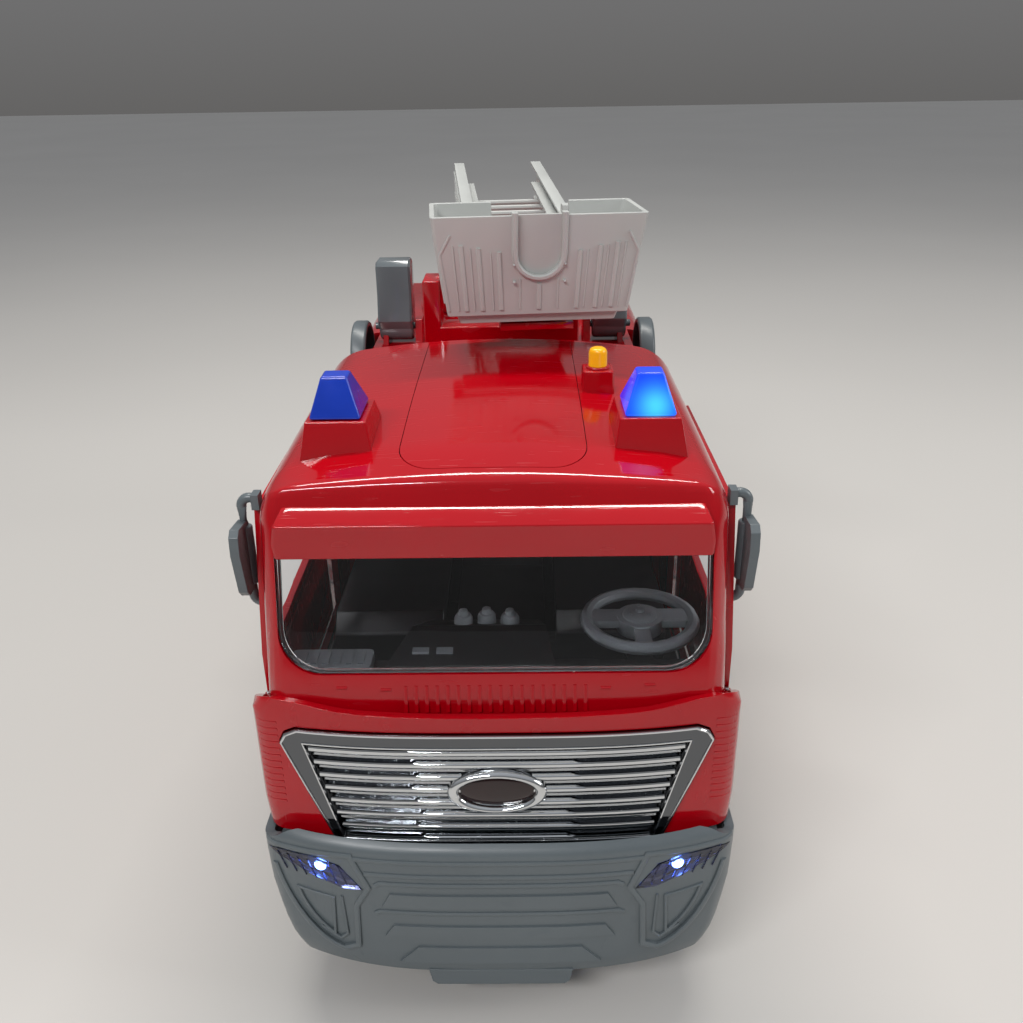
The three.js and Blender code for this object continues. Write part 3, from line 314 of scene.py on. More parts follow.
def tyre_rubber():
    """Moulded thermoplastic rubber: nearly black, dry and finely grained, with uneven wear."""
    material, tree, shader = start("moulded_rubber", IOR=1.5)
    spot = add(tree, "TexCoord").outputs["Object"]
    tree.links.new(tinted(tree, "#17181a", spot, 6, 0.2), shader.inputs["Base Color"])
    tree.links.new(ramp(tree, noise(tree, spot, 3, 4), 0.55, 0.8, 0.3, 0.7), shader.inputs["Roughness"])
    skin = add(tree, "Bump", {"Height": noise(tree, spot, 0.5, 3), "Distance": 0.04 * MM})
    tree.links.new(skin.outputs["Normal"], shader.inputs["Normal"])
    return material


def circuit_board():
    """Green solder mask over glass-fibre board, with paler tracks showing through it."""
    material, tree, shader = start("solder_mask", IOR=1.5, Roughness=0.35)
    spot = add(tree, "TexCoord").outputs["Object"]
    tracks = add(tree, "TexVoronoi", {"Vector": spot, "Scale": per_mm(5)}, distance="MANHATTAN")
    mask = ramp(tree, tracks.outputs["Distance"], 0.0, 1.0, 0.4, 0.45)
    colour = add(tree, "Mix", {"Factor": mask, "A": paint("#0f4a27"), "B": paint("#1f6a3a")},
                 data_type="RGBA")
    tree.links.new(colour.outputs["Result"], shader.inputs["Base Color"])
    return material


def cell_jacket():
    """Shrink sleeve of a dry cell: plain copper-gold film."""
    material, tree, shader = start("cell_sleeve", Metallic=0.6)
    spot = add(tree, "TexCoord").outputs["Object"]
    tree.links.new(tinted(tree, "#8a6a2a", spot, 12, 0.1), shader.inputs["Base Color"])
    tree.links.new(ramp(tree, noise(tree, spot, 2, 2), 0.3, 0.45, 0.3, 0.7), shader.inputs["Roughness"])
    return material


def led_glow():
    """The white-blue chip and dome of a lit LED."""
    material, tree, shader = start("lit_led", Emission_Strength=16.0)
    spot = add(tree, "TexCoord").outputs["Object"]
    tree.links.new(tinted(tree, "#7fa8ff", spot, 4, 0.1), shader.inputs["Emission Color"])
    shader.inputs["Base Color"].default_value = paint("#dfe8ff")
    return material


RED, GREY, DARK, LIGHT = red_abs(), grey_abs(), dark_abs(), light_abs()
GLOSS, STEER = polished_grey_abs(), wheel_grey_abs()
HUB, YELLOW, STEEL = hub_abs(), yellow_abs(), steel()
# The second chrome is the same plating painted dark grey for the grille's frame and backing: painted shade,
# standing in for the dark room and floor that they reflect.
CHROME, PAINTED_SHADE_CHROME = chrome_plate("vacuum_chrome", "#d4d6d8"), chrome_plate("chrome_with_painted_shade", "#66686b")
CLEAR, VIOLET, SMOKE = clear_ps(), violet_ps(), smoke_ps()
BLUE_LIT, BLUE_DARK = blue_ps("blue_polystyrene_lit", True), blue_ps("blue_polystyrene", False)
LAMP_RED, RUBBER, BOARD, SLEEVE, LED = red_ps(), tyre_rubber(), circuit_board(), cell_jacket(), led_glow()


# ---------------------------------------------------------------- shapes
def on_axis(axis, along, u, v):
    """The point this far along an axis, with u and v as its other coordinates in x, y, z order."""
    return {"x": (along, u, v), "y": (u, along, v), "z": (u, v, along)}[axis]


def beside(side, near, far):
    """Two distances from the truck's middle plane as x, lowest first; side is 1 left or -1 right."""
    return sorted((side * near, side * far))


def circle(sides):
    """Evenly spaced angles of one turn."""
    return [2 * math.pi * i / sides for i in range(sides)]


def level(x0, x1, y0, y1, z):
    """The corners of a rectangle at height z."""
    return [(x0, y0, z), (x1, y0, z), (x1, y1, z), (x0, y1, z)]


def polyline_prism(bm, outline, axis, low, high):
    """A closed outline pushed along an axis: (y, z) along x, (x, z) along y or (x, y) along z."""
    near, far = [[bm.verts.new(on_axis(axis, along, u, v)) for u, v in outline] for along in (low, high)]
    bm.faces.new(near)
    bm.faces.new(far[::-1])
    for i, corner in enumerate(near):
        bm.faces.new((near[i - 1], corner, far[i], far[i - 1]))


def block(bm, x0, x1, y0, y1, z0, z1):
    """A box between these limits, for the small parts of a larger piece."""
    polyline_prism(bm, [(x0, y0), (x1, y0), (x1, y1), (x0, y1)], "z", z0, z1)


def loft(bm, rings, closed=True, capped=True):
    """Skins a row of rings that all have the same number of points."""
    made = [[bm.verts.new(p) for p in ring] for ring in rings]
    for low, high in zip(made, made[1:]):
        count = len(low)
        for i in range(0 if closed else 1, count):
            bm.faces.new((low[i - 1], low[i], high[i], high[i - 1]))
    if capped:
        bm.faces.new(made[0][::-1])
        bm.faces.new(made[-1])
    return made


def turned(bm, profile, axis, centre, sides=48):
    """A profile of (along, radius) pairs turned about an axis through centre."""
    loft(bm, [[Vector(on_axis(axis, along, r * math.cos(t), r * math.sin(t))) + Vector(centre)
               for t in circle(sides)] for along, r in profile])


def rod(bm, axis, radius, low, high, at, sides=32, edge=0.3):
    """A rod with a small chamfer at each end; at gives its other two coordinates."""
    turned(bm, [(low, radius - edge), (low + edge, radius), (high - edge, radius), (high, radius - edge)],
           axis, on_axis(axis, 0, *at), sides)


def swept(bm, path, section, closed=False):
    """A section of (side, up) pairs carried along a path, its side kept level."""
    rings = []
    count = len(path)
    for i, point in enumerate(path):
        before = path[i - 1] if closed or i else path[i]
        after = path[(i + 1) % count] if closed or i < count - 1 else path[i]
        way = (Vector(after) - Vector(before)).normalized()
        side = way.cross(Vector((0, 0, 1)))
        side = Vector((1, 0, 0)) if side.length < 1e-3 else side.normalized()
        up = side.cross(way)
        rings.append([Vector(point) + side * s + up * t for s, t in section])
    if closed:
        rings.append(rings[0])
    loft(bm, rings, capped=not closed)


def round_section(radius, sides=16):
    """The round section of a tube."""
    return [(radius * math.cos(t), radius * math.sin(t)) for t in circle(sides)]


def arc(cx, cy, rx, ry, from_deg, to_deg, steps=8):
    """Points of an ellipse's arc, ends included."""
    angles = [math.radians(from_deg + (to_deg - from_deg) * i / steps) for i in range(steps + 1)]
    return [(cx + rx * math.cos(t), cy + ry * math.sin(t)) for t in angles]


def rounded(x0, x1, y0, y1, r, steps=6):
    """A rectangle's outline with round corners."""
    return (arc(x1 - r, y0 + r, r, r, -90, 0, steps) + arc(x1 - r, y1 - r, r, r, 0, 90, steps)
            + arc(x0 + r, y1 - r, r, r, 90, 180, steps) + arc(x0 + r, y0 + r, r, r, 180, 270, steps))


def on_surface(bm, outline, depth, lift, sink=0.8, step=3.0):
    """A plate with this (x, z) outline, standing lift in front of the surface y = depth(x, z)."""
    flat = bmesh.new()
    corners = [flat.verts.new((x, 0, z)) for x, z in outline]
    flat.faces.new(corners)
    xs = [x for x, _ in outline]
    cut = math.ceil(min(xs) / step) * step
    while cut < max(xs):
        geom = flat.verts[:] + flat.edges[:] + flat.faces[:]
        bmesh.ops.bisect_plane(flat, geom=geom, plane_co=(cut, 0, 0), plane_no=(1, 0, 0), dist=1e-5)
        cut += step
    flat.verts.ensure_lookup_table()
    front = {v: bm.verts.new((v.co.x, depth(v.co.x, v.co.z) - lift, v.co.z)) for v in flat.verts}
    back = {v: bm.verts.new((v.co.x, depth(v.co.x, v.co.z) + sink, v.co.z)) for v in flat.verts}
    for face in flat.faces:
        bm.faces.new([front[v] for v in face.verts])
        bm.faces.new([back[v] for v in reversed(face.verts)])
    for edge in flat.edges:
        if len(edge.link_faces) == 1:
            a, b = edge.verts
            bm.faces.new((front[a], front[b], back[b], back[a]))
    flat.free()


def ridge(bm, points, width, depth, lift, closed=False, sink=0.5, step=3.0):
    """A raised line of this width along (x, z) points on the surface y = depth(x, z)."""
    fine = []
    count = len(points)
    for i in range(count if closed else count - 1):
        a, b = Vector(points[i]), Vector(points[(i + 1) % count])
        parts = max(1, int((b - a).length / step))
        fine += [a.lerp(b, k / parts) for k in range(parts)]
    if not closed:
        fine.append(Vector(points[-1]))
    rings = []
    total = len(fine)
    for i, point in enumerate(fine):
        before = fine[i - 1] if closed or i else None
        after = fine[(i + 1) % total] if closed or i < total - 1 else None
        first = (point - before).normalized() if before is not None else None
        second = (after - point).normalized() if after is not None else None
        first, second = first or second, second or first
        across = Vector((-(first.y + second.y), first.x + second.x)).normalized()
        square = Vector((-first.y, first.x))
        reach = width / 2 / max(0.5, across.dot(square))
        outer, inner = point + across * reach, point - across * reach
        ring = []
        for spot, rise in ((outer, -sink), (outer, lift * 0.55), (point + across * reach * 0.45, lift),
                           (point - across * reach * 0.45, lift), (inner, lift * 0.55), (inner, -sink)):
            ring.append((spot.x, depth(spot.x, spot.y) - rise, spot.y))
        rings.append(ring)
    if closed:
        rings.append(rings[0])
    loft(bm, rings, capped=not closed)


def bevel_edges(obj, width, steps, angle):
    """Rounds every edge sharper than the angle by this many millimetres."""
    edges = obj.modifiers.new("round_edges", "BEVEL")
    edges.width = width * MM
    edges.segments = steps
    edges.limit_method = "ANGLE"
    edges.angle_limit = math.radians(angle)
    edges.harden_normals = True


def piece(name, bm, body, look, place=TRUCK, bevel=0.0, steps=2, angle=32, crease=None):
    """Makes the object, with its edges rounded by bevel millimetres, and sets it on its body."""
    bmesh.ops.remove_doubles(bm, verts=bm.verts[:], dist=1e-4)
    bmesh.ops.recalc_face_normals(bm, faces=bm.faces[:])
    mesh = bpy.data.meshes.new(name)
    bm.to_mesh(mesh)
    bm.free()
    mesh.transform(place)
    obj = bpy.data.objects.new(name, mesh)
    bpy.context.scene.collection.objects.link(obj)
    mesh.shade_smooth()
    if bevel:
        bevel_edges(obj, bevel, steps, angle)
    else:
        mesh.set_sharp_from_angle(angle=math.radians(crease or angle))
    mesh.materials.append(look)
    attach(obj, body)
    return obj


def settle(obj):
    """Applies a piece's modifiers."""
    graph = bpy.context.evaluated_depsgraph_get()
    mesh = bpy.data.meshes.new_from_object(obj.evaluated_get(graph))
    obj.modifiers.clear()
    obj.data = mesh


def thicken(obj, wall):
    """Gives an open skin its wall, on the side away from its foremost face's outside."""
    foremost = min(obj.data.polygons, key=lambda face: face.center.y)
    shell = obj.modifiers.new("wall", "SOLIDIFY")
    shell.thickness = wall * MM
    shell.offset = -1 if foremost.normal.y < 0 else 1
    settle(obj)


def round_edges(obj, width, steps=2, angle=32):
    """Rounds the sharp edges left on a cut piece."""
    bevel_edges(obj, width, steps, angle)
    obj.data.shade_smooth()


def carve(obj, bm, place=TRUCK, how="DIFFERENCE"):
    """Cuts a closed shape out of a piece, or keeps only what is inside it."""
    bmesh.ops.recalc_face_normals(bm, faces=bm.faces[:])
    mesh = bpy.data.meshes.new("cutter")
    bm.to_mesh(mesh)
    bm.free()
    mesh.transform(place)
    tool = bpy.data.objects.new("cutter", mesh)
    bpy.context.scene.collection.objects.link(tool)
    cut = obj.modifiers.new("cut", "BOOLEAN")
    cut.object = tool
    cut.operation = how
    cut.solver = "EXACT"
    settle(obj)
    bpy.data.objects.remove(tool)


def shade_like(obj, skin, reach=0.25):
    """Gives obj the normals of the unbroken skin wherever it lies on it, so cuts leave no dents."""
    tree = BVHTree.FromPolygons([v.co.copy() for v in skin.vertices], [p.vertices[:] for p in skin.polygons])
    normals = [Vector(n.vector) for n in skin.vertex_normals]
    mesh = obj.data
    loops = []
    for polygon in mesh.polygons:
        polygon.use_smooth = True
        for index in polygon.loop_indices:
            spot = mesh.vertices[mesh.loops[index].vertex_index].co
            _, _, face, gap = tree.find_nearest(spot)
            normal = polygon.normal
            if gap < reach * MM:
                ring = skin.polygons[face].vertices
                weights = [1 / ((skin.vertices[v].co - spot).length + 1e-6) for v in ring]
                smooth = sum((normals[v] * w for v, w in zip(ring, weights)), Vector()).normalized()
                if smooth.dot(polygon.normal) > 0.75:
                    normal = smooth
            loops.append(normal)
    mesh.normals_split_custom_set(loops)


def dress(node, look, bevel=0.35, steps=2, angle=32):
    """Finishes a CAD node as moulded: flat faces merged, edges rounded, and its real material."""
    obj = NODES[node]
    obj.data.materials.clear()
    obj.data.materials.append(look)
    weld = obj.modifiers.new("weld", "WELD")
    weld.merge_threshold = 0.002 * MM
    flat = obj.modifiers.new("flat_faces", "DECIMATE")
    flat.decimate_type = "DISSOLVE"
    flat.angle_limit = math.radians(1)
    bevel_edges(obj, bevel, steps, angle)
    for polygon in obj.data.polygons:
        polygon.use_smooth = True


# ---------------------------------------------------------------- cab
def front_of_cab(x, z):
    """How far back the cab's front stands at this spot: upright low down, then leaning back."""
    into = min(1, max(0, (abs(x) - HALF + CORNER["across"]) / CORNER["across"]))
    return max(14, BROW_Y - (SHOULDER["z"] - z) * LEAN) + CORNER["along"] * (1 - math.sqrt(1 - into * into))


def fall_forward(y):
    """How far the roof has sunk at this distance back, from nothing at y 110 to 2 mm at its front."""
    return 2 * (max(0, 110 - y) / 58) ** 2


def roof_height(x, y):
    """The roof's crown, with its slow fall towards the front."""
    edge = HALF - SHOULDER["in"]
    return ROOF - CROWN * (x / edge) ** 2 - fall_forward(y)


def bezier(points, t):
    """The point at t on a cubic curve with these four handles."""
    a, b, c, d = [Vector(p) for p in points]
    return a * (1 - t) ** 3 + b * 3 * t * (1 - t) ** 2 + c * 3 * t * t * (1 - t) + d * t ** 3


def cab_ring(half, front_y, height, shrink=1.0):
    """One U-shaped level of the cab, from the right side's back edge round the front to the left's."""
    across, along = CORNER["across"] * shrink, CORNER["along"] * shrink
    quarter = []
    for i in range(13):
        y = CAB_BACK + (front_y + along - CAB_BACK) * i / 12
        quarter.append((-half, y, 0.0))
    for i in range(1, 11):
        t = math.radians(9 * i)
        x, y = -(half - across) - across * math.cos(t), front_y + along - along * math.sin(t)
        quarter.append((x, y, i / 10))
    for i in range(1, 10):
        quarter.append((-(half - across) * (1 - i / 9), front_y, 1.0))
    row = quarter + [(-x, y, turn) for x, y, turn in quarter[-2::-1]]
    return [(x, y, height(x, y, turn * turn * (3 - 2 * turn))) for x, y, turn in row]


def brow(t):
    """The front edge of the roof: the face's lean, a tight bend, and the gentle start of the roof."""
    if t < 0.3:
        return Vector((BROW_Y, 158)).lerp(Vector((31.2, 169.4)), t / 0.3)
    if t < 0.7:
        return bezier(((31.2, 169.4), (31.7, 171.2), (33.2, 171.9), (35.5, 172.6)), (t - 0.3) / 0.4)
    return bezier(((35.5, 172.6), (41, 174.4), (46, 175.7), (ROOF_EDGE_Y, 176)), (t - 0.7) / 0.3)


def cab_rings(bottom):
    """The cab's levels: up its walls, over the shoulder and brow, and in to the middle of the roof."""
    rings = []
    for i in range(13):
        z = bottom + (SHOULDER["z"] - bottom) * i / 12
        rings.append(cab_ring(HALF, front_of_cab(0, z), lambda x, y, turn, z=z: z))
    edge = HALF - SHOULDER["in"]
    side = [(HALF, 158), (HALF, 166.5), (edge + 8, 173.4), (edge, 174.5)]
    for i in range(1, 21):
        t = i / 20
        half, side_z = bezier(side, t)
        front_y, front_z = brow(t)

        def height(x, y, turn, t=t, side_z=side_z, front_z=front_z):
            low = side_z - t * fall_forward(y)
            high = front_z - t * CROWN * (x / edge) ** 2
            return low + (high - low) * turn
        rings.append(cab_ring(half, front_y, height))
    for i in range(1, 15):
        keep = 1 - i / 14
        front_y = CAB_BACK - (CAB_BACK - ROOF_EDGE_Y) * keep
        rings.append(cab_ring(edge * keep, front_y, lambda x, y, turn: roof_height(x, y), keep))
    return rings


def cab_skin(bottom):
    """The cab's outer surface alone, for its normals."""
    bm = bmesh.new()
    loft(bm, cab_rings(bottom), closed=False, capped=False)
    bmesh.ops.remove_doubles(bm, verts=bm.verts[:], dist=1e-3)
    bmesh.ops.recalc_face_normals(bm, faces=bm.faces[:])
    mesh = bpy.data.meshes.new("skin")
    bm.to_mesh(mesh)
    bm.free()
    mesh.transform(TRUCK)
    top = max(mesh.polygons, key=lambda p: p.center.z)
    if top.normal.z < 0:
        mesh.flip_normals()
    return mesh


def glass_outline(grow):
    """The windscreen's outline, with round lower corners."""
    half, low, r = GLASS["half"] + grow, GLASS["bottom"] - grow, GLASS["corner"]
    return (arc(-half + r, low + r, r, r, 180, 270, 10) + arc(half - r, low + r, r, r, 270, 360, 10)
            + [(half, GLASS["top"] + grow), (-half, GLASS["top"] + grow)])


def roof_panel_outline(grow):
    """The roof lid's outline, with round front corners and its back edge at the cab's back wall."""
    half, front, r = PANEL["half"] + grow, PANEL["front"] - grow, PANEL["corner"]
    return (arc(-half + r, front + r, r, r, 180, 270, 8) + arc(half - r, front + r, r, r, 270, 360, 8)
            + [(half, CAB_BACK - WALL - 0.2 + grow), (-half, CAB_BACK - WALL - 0.2 + grow)])


def door_outline(grow):
    """A cab door's outline, whose front edge leans back with the windscreen post."""
    front, back, foot, top = 31.3 - grow, 130 + grow, 73 - grow, 158 + grow
    return [(front, foot), (back, foot), (back, top), (43 - grow, top), (front, 116)]


def arch_cut(bm, side, wheel_y, sides):
    """A wheel arch's round cutter."""
    turned(bm, [(38 * side, WHEEL["arch"]), (90 * side, WHEEL["arch"])], "x",
           (0, wheel_y, WHEEL["radius"]), sides)


def shelled_cab(name):
    """The whole cab as an open-bottomed shell, before its openings are cut."""
    bm = bmesh.new()
    loft(bm, cab_rings(SHELL_FOOT), closed=True, capped=False)
    obj = piece(name, bm, "truck", RED)
    thicken(obj, WALL)
    return obj


def make_cab():
    """The red shell with its openings, the roof lid cut from the same skin, and the moulded fittings."""
    skin = cab_skin(SHELL_FOOT - 6)
    shell = shelled_cab("cab")
    cuts = bmesh.new()
    polyline_prism(cuts, glass_outline(0.25), "y", 0, 48)
    carve(shell, cuts)
    cuts = bmesh.new()
    polyline_prism(cuts, roof_panel_outline(0.22), "z", 160, 200)
    carve(shell, cuts)
    cuts = bmesh.new()
    for side in (1, -1):
        polyline_prism(cuts, door_outline(-6), "x", *beside(side, 50, 90))
        arch_cut(cuts, side, WHEEL["front"], 64)
    carve(shell, cuts)
    shade_like(shell, skin)
    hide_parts("cab_shell")

    panel = shelled_cab("roof_lid")
    keep = bmesh.new()
    polyline_prism(keep, roof_panel_outline(0), "z", 164, 200)
    carve(panel, keep, how="INTERSECT")
    shade_like(panel, skin)
    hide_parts("roof_panel")

    for word, side in SIDES:
        make_plinth(f"beacon_plinth_{word}", side)
    make_button_seat()
    make_front_louvres()
    make_hinge_ears()


def make_plinth(name, side):
    """The sloping red block that a beacon stands on, cut square and set into the roof."""
    bm = bmesh.new()
    loft(bm, [level(side * 34.0, side * 55.8, 45.6, 77, 169.5),
              level(side * 35.9, side * 53.3, 47.4, 67.4, 182.3)])
    piece(name, bm, "truck", RED, bevel=0.45, steps=3)


def make_button_seat():
    """The square red foot with a low collar that the horn button sits in."""
    at_x, at_y = BUTTON["x"], BUTTON["y"]
    bm = bmesh.new()
    loft(bm, [[(x, y, z) for x, y in rounded(at_x - half, at_x + half, at_y - half, at_y + half, 0.8, 3)]
              for half, z in ((5.3, 174), (4.9, 183.0), (4.5, 183.2))])
    turned(bm, [(183.1, 4.0), (183.9, 3.9), (184.0, 3.4)], "z", (at_x, at_y, 0), 32)
    piece("button_seat", bm, "truck", RED, bevel=0.25)


def make_front_louvres():
    """The row of upright ribs and the four short bars under the windscreen."""
    bm = bmesh.new()
    count, half = 18, 25.4
    for i in range(count):
        x = -half + 2 * half * i / (count - 1)
        ridge(bm, [(x, 106.9), (x, 114.4)], 1.1, front_of_cab, 0.28)
    for x, z in ((-43.4, 114.0), (-30.9, 113.4), (31.1, 113.5), (43.5, 114.3)):
        ridge(bm, [(x - 1.5, z), (x + 1.5, z)], 0.7, front_of_cab, 0.4)
    piece("front_ribs", bm, "truck", RED)


def make_hinge_ears():
    """The two knuckles at each front corner, beside the lower panel."""
    bm = bmesh.new()
    for side in (1, -1):
        for low, high in ((79, 84), (98, 103)):
            rod(bm, "z", 1.6, low, high, (68.4 * side, 29.5), 20)
            block(bm, *beside(side, 64.8, 68.4), 28, 31, low + 0.2, high - 0.2)
    piece("hinge_ears", bm, "truck", RED)


def make_windscreen():
    """The clear pane that follows the cab's front, and the moulded line round it."""
    bm = bmesh.new()
    on_surface(bm, glass_outline(0), front_of_cab, -0.5, 1.9, 4)
    screen = piece("windscreen_pane", bm, "truck", CLEAR, bevel=0.2)
    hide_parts("windscreen")
    bm = bmesh.new()
    ridge(bm, glass_outline(-1.0), 1.0, front_of_cab, 0.25, closed=True)
    piece("windscreen_rim", bm, "truck", CLEAR)


def make_visor():
    """The peak over the windscreen: a wedge with a crease along it and its ends drawn in."""
    def end(z):
        return 60.5 + 0.6 * min(1, (z - 149) / 8) - 3.0 * max(0, z - 158) / 6
    section = [(27.2, 150.0), (25.1, 150.2), (24.5, 155.0), (24.0, 160.5), (25.9, 161.9), (28.6, 163.4),
               (30.4, 164.2), (32.5, 164.6), (30.2, 156.0)]
    stations = [-1, -0.985] + [-0.95 + 0.1 * i for i in range(20)] + [0.985, 1]
    rings = [[(s * end(z), y + (0.5 if abs(s) == 1 else 0), z) for y, z in section] for s in stations]
    bm = bmesh.new()
    loft(bm, rings)
    peak = piece("visor", bm, "truck", RED, bevel=0.4, steps=3, angle=20)
    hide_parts("sun_visor")


def make_beacon(word, side):
    """A four-sided beacon with sloping faces and a ridge top."""
    x, low = BEACON["x"], BEACON["base"]
    rows = ((7.3, 48, 66, low), (7.2, 48.2, 65.8, low + 0.9), (3.7, 52, 58.6, low + BEACON["height"]))
    bm = bmesh.new()
    loft(bm, [level(side * (x - half), side * (x + half), y0, y1, z) for half, y0, y1, z in rows])
    look = BLUE_LIT if side == 1 else BLUE_DARK
    lens = piece(f"beacon_{word}", bm, "truck", look, bevel=0.7, steps=4)
    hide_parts(f"beacon_lens_{word}")


# ---------------------------------------------------------------- lower front panel and grille
def lower_front(x, z=0):
    """Bowed front of the lower panel, with its round corner."""
    half, bow = LOWER["half"], LOWER["bow"]
    across = 5.5
    into = min(1, max(0, (abs(x) - half + across) / across))
    return LOWER["front"] + bow * abs(x / half) ** 3 + 5 * (1 - math.sqrt(1 - into * into))


def lower_top(x):
    """The panel's top edge: nearly level, then sweeping up to its shoulders."""
    t = min(1, max(0, (abs(x) - 38) / 27))
    return LOWER["top"] + 0.8 * min(1, abs(x) / 40) ** 2 + 2.8 * t * t * (3 - 2 * t)


def lower_half(z):
    """The panel's half width, with its corners cut off at the top and foot."""
    return LOWER["half"] - max(0, z - 108) * 0.8 - max(0, 75 - z) * 0.08


def make_lower_panel():
    """The red panel round the grille, with its fine corner ribs."""
    half = LOWER["half"]
    xs = [-half + 5.5 * (1 - math.cos(math.radians(9 * i))) for i in range(11)]
    plan = [(-half, LOWER["back"]), (-half, 23.4)]
    plan += [(x, lower_front(x)) for x in xs]
    plan += [(x, lower_front(x)) for x in [-62 + 62 * i / 14 for i in range(1, 15)]]
    plan += [(-x, y) for x, y in plan[-2::-1]]
    rings = []
    levels = 14
    for i in range(levels + 1):
        ring = []
        for x, y in plan:
            fall = 7 * max(0, y - 15) / 11.5
            z = LOWER["bottom"] + (lower_top(x) - fall - LOWER["bottom"]) * i / levels
            ring.append((x * lower_half(z) / half, y, z))
        rings.append(ring)
    bm = bmesh.new()
    loft(bm, rings, closed=False, capped=False)
    obj = piece("lower_panel", bm, "truck", RED)
    thicken(obj, WALL)
    cuts = bmesh.new()
    polyline_prism(cuts, grille_outline(0.2), "y", -5, 17)
    carve(obj, cuts)
    round_edges(obj, 0.4, angle=45)
    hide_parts("lower_front_panel")

    ribs = bmesh.new()
    for side in (1, -1):
        for i in range(13):
            z = 76 + 2.35 * i
            line = [(side * 62.5, z + 0.2), (side * 65, z), (side * 68.8, z - 0.3)]
            ridge(ribs, line, 0.8, lower_front, 0.14, step=1)
    piece("corner_ribs", ribs, "truck", RED)


def grille_outline(grow):
    """The trapezium of the grille, with its two top corners nipped off."""
    left = [(-48.1 - grow, 63.6 - grow), (-62.1 - grow, 98.2),
            (-60.4 - grow, 101.6 + grow), (-57 - grow, 103.4 + grow)]
    return left + [(-x, z) for x, z in left[::-1]]


def grille_window():
    """The opening inside the grille's frame."""
    left = [(-45.8, 65.4), (-55.2, 98.9)]
    return left + [(-x, z) for x, z in left[::-1]]


def make_grille():
    """A frame and backing in chrome painted darker, painted shade for the dark room and floor they reflect,
    with bright bars across and bright lines round the frame.
    """
    bm = bmesh.new()
    on_surface(bm, grille_outline(0), lower_front, 0.9, 2.2, 4)
    backing = bmesh.new()
    on_surface(backing, grille_window(), lower_front, -2.0, 2.6, 4)
    # The backing and frame take the darker chrome: painted shade for the dark surroundings they reflect.
    piece("grille_backing", backing, "truck", PAINTED_SHADE_CHROME)
    frame_piece = piece("grille_frame", bm, "truck", PAINTED_SHADE_CHROME)
    cuts = bmesh.new()
    on_surface(cuts, grille_window(), lower_front, 3, 4, 4)
    carve(frame_piece, cuts)
    round_edges(frame_piece, 0.35)
    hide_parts("grille")

    bm = bmesh.new()
    rows = (65.6, 69.8, 74.4, 79.0, 83.6, 88.0, 92.4, 96.7)
    for z, above in zip(rows, rows[1:] + (None,)):
        half = 44.4 + (z - 64.8) * 0.29
        ridge(bm, [(-half, z), (half, z)], 1.7, lower_front, 0.6, sink=2.6)
        if above:
            level = (z + above) / 2
            ridge(bm, [(-half - 0.8, level), (half + 0.8, level)], 0.8, lower_front, -1.0, sink=2.6)
    piece("grille_bars", bm, "truck", CHROME, crease=60)

    bm = bmesh.new()
    ridge(bm, grille_outline(-0.5), 0.9, lower_front, 1.25, closed=True, sink=-0.5, step=3)
    ridge(bm, grille_window(), 0.8, lower_front, 1.2, closed=True, sink=-0.5, step=3)
    piece("grille_edges", bm, "truck", CHROME, crease=60)
    make_oval()


def make_oval():
    """The plated oval ring and the blank smoked plate inside it."""
    def ring(rx, rz, y):
        return [(x, y, z) for x, z in arc(0, 83.6, rx, rz, 0, 360, 64)[:-1]]
    front = LOWER["front"]
    bm = bmesh.new()
    rings = [ring(14.4, 7.4, front + 1.5), ring(14.4, 7.4, front - 1.0), ring(14.0, 7.0, front - 1.9),
             ring(13.2, 6.3, front - 2.25), ring(12.2, 5.9, front - 2.2), ring(11.4, 5.5, front - 1.8),
             ring(10.9, 5.2, front - 0.8), ring(10.9, 5.2, front + 1.5)]
    loft(bm, rings + [rings[0]], capped=False)
    oval = piece("oval_ring", bm, "truck", CHROME)
    oval.data.set_sharp_from_angle(angle=math.radians(70))
    bm = bmesh.new()
    loft(bm, [ring(10.8, 5.1, front + 1.2), ring(10.8, 5.1, front - 0.5), ring(9.6, 4.5, front - 0.9),
              ring(6.5, 3.0, front - 1.2), ring(2.5, 1.2, front - 1.35)])
    plate = piece("oval_plate", bm, "truck", SMOKE, crease=50)
    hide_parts("badge_insert")


# ---------------------------------------------------------------- bumper and headlamps
def bumper_front(x, z):
    """Bowed front of the bumper: its top rolls back and its foot tucks under."""
    half, bow = BUMPER["half"], BUMPER["bow"]
    into = min(1, max(0, (abs(x) - half + 5) / 5))
    roll = max(0, z - 65.5) ** 2 * 0.22
    tuck = max(0, 25 - z) ** 1.5 * 0.08
    return bow * abs(x / half) ** 3 + 5 * (1 - math.sqrt(1 - into * into)) + roll + tuck


def bumper_half(z):
    """Half width of the bumper at this height."""
    rows = ((14, 62.6), (19.5, 64.4), (27, 67.2), (33, 68.6), (46, 70.5), (58, 71), (63.4, 71), (69, 70.2))
    for (z0, w0), (z1, w1) in zip(rows, rows[1:]):
        if z <= z1:
            return w0 + (w1 - w0) * (z - z0) / (z1 - z0)
    return rows[-1][1]


def bumper_top(x):
    """The top edge dips towards the corners' outer ends."""
    return BUMPER["top"] - 5.4 * max(0, (abs(x) - 61) / 10) ** 1.2


def lamp_outline(grow):
    """A headlamp's outline in the left half of the bumper: tall inside, tapering outwards."""
    low = [(40.4 - grow, 52.2 - grow), (46.5, 52.2 - grow), (55, 55.2 - grow), (63, 58.6 - grow)]
    high = [(69.0 + grow, 61.2), (66, 62.2 + grow), (54, 62.4 + grow), (47.0 - grow, 60.4 + grow)]
    return low + high


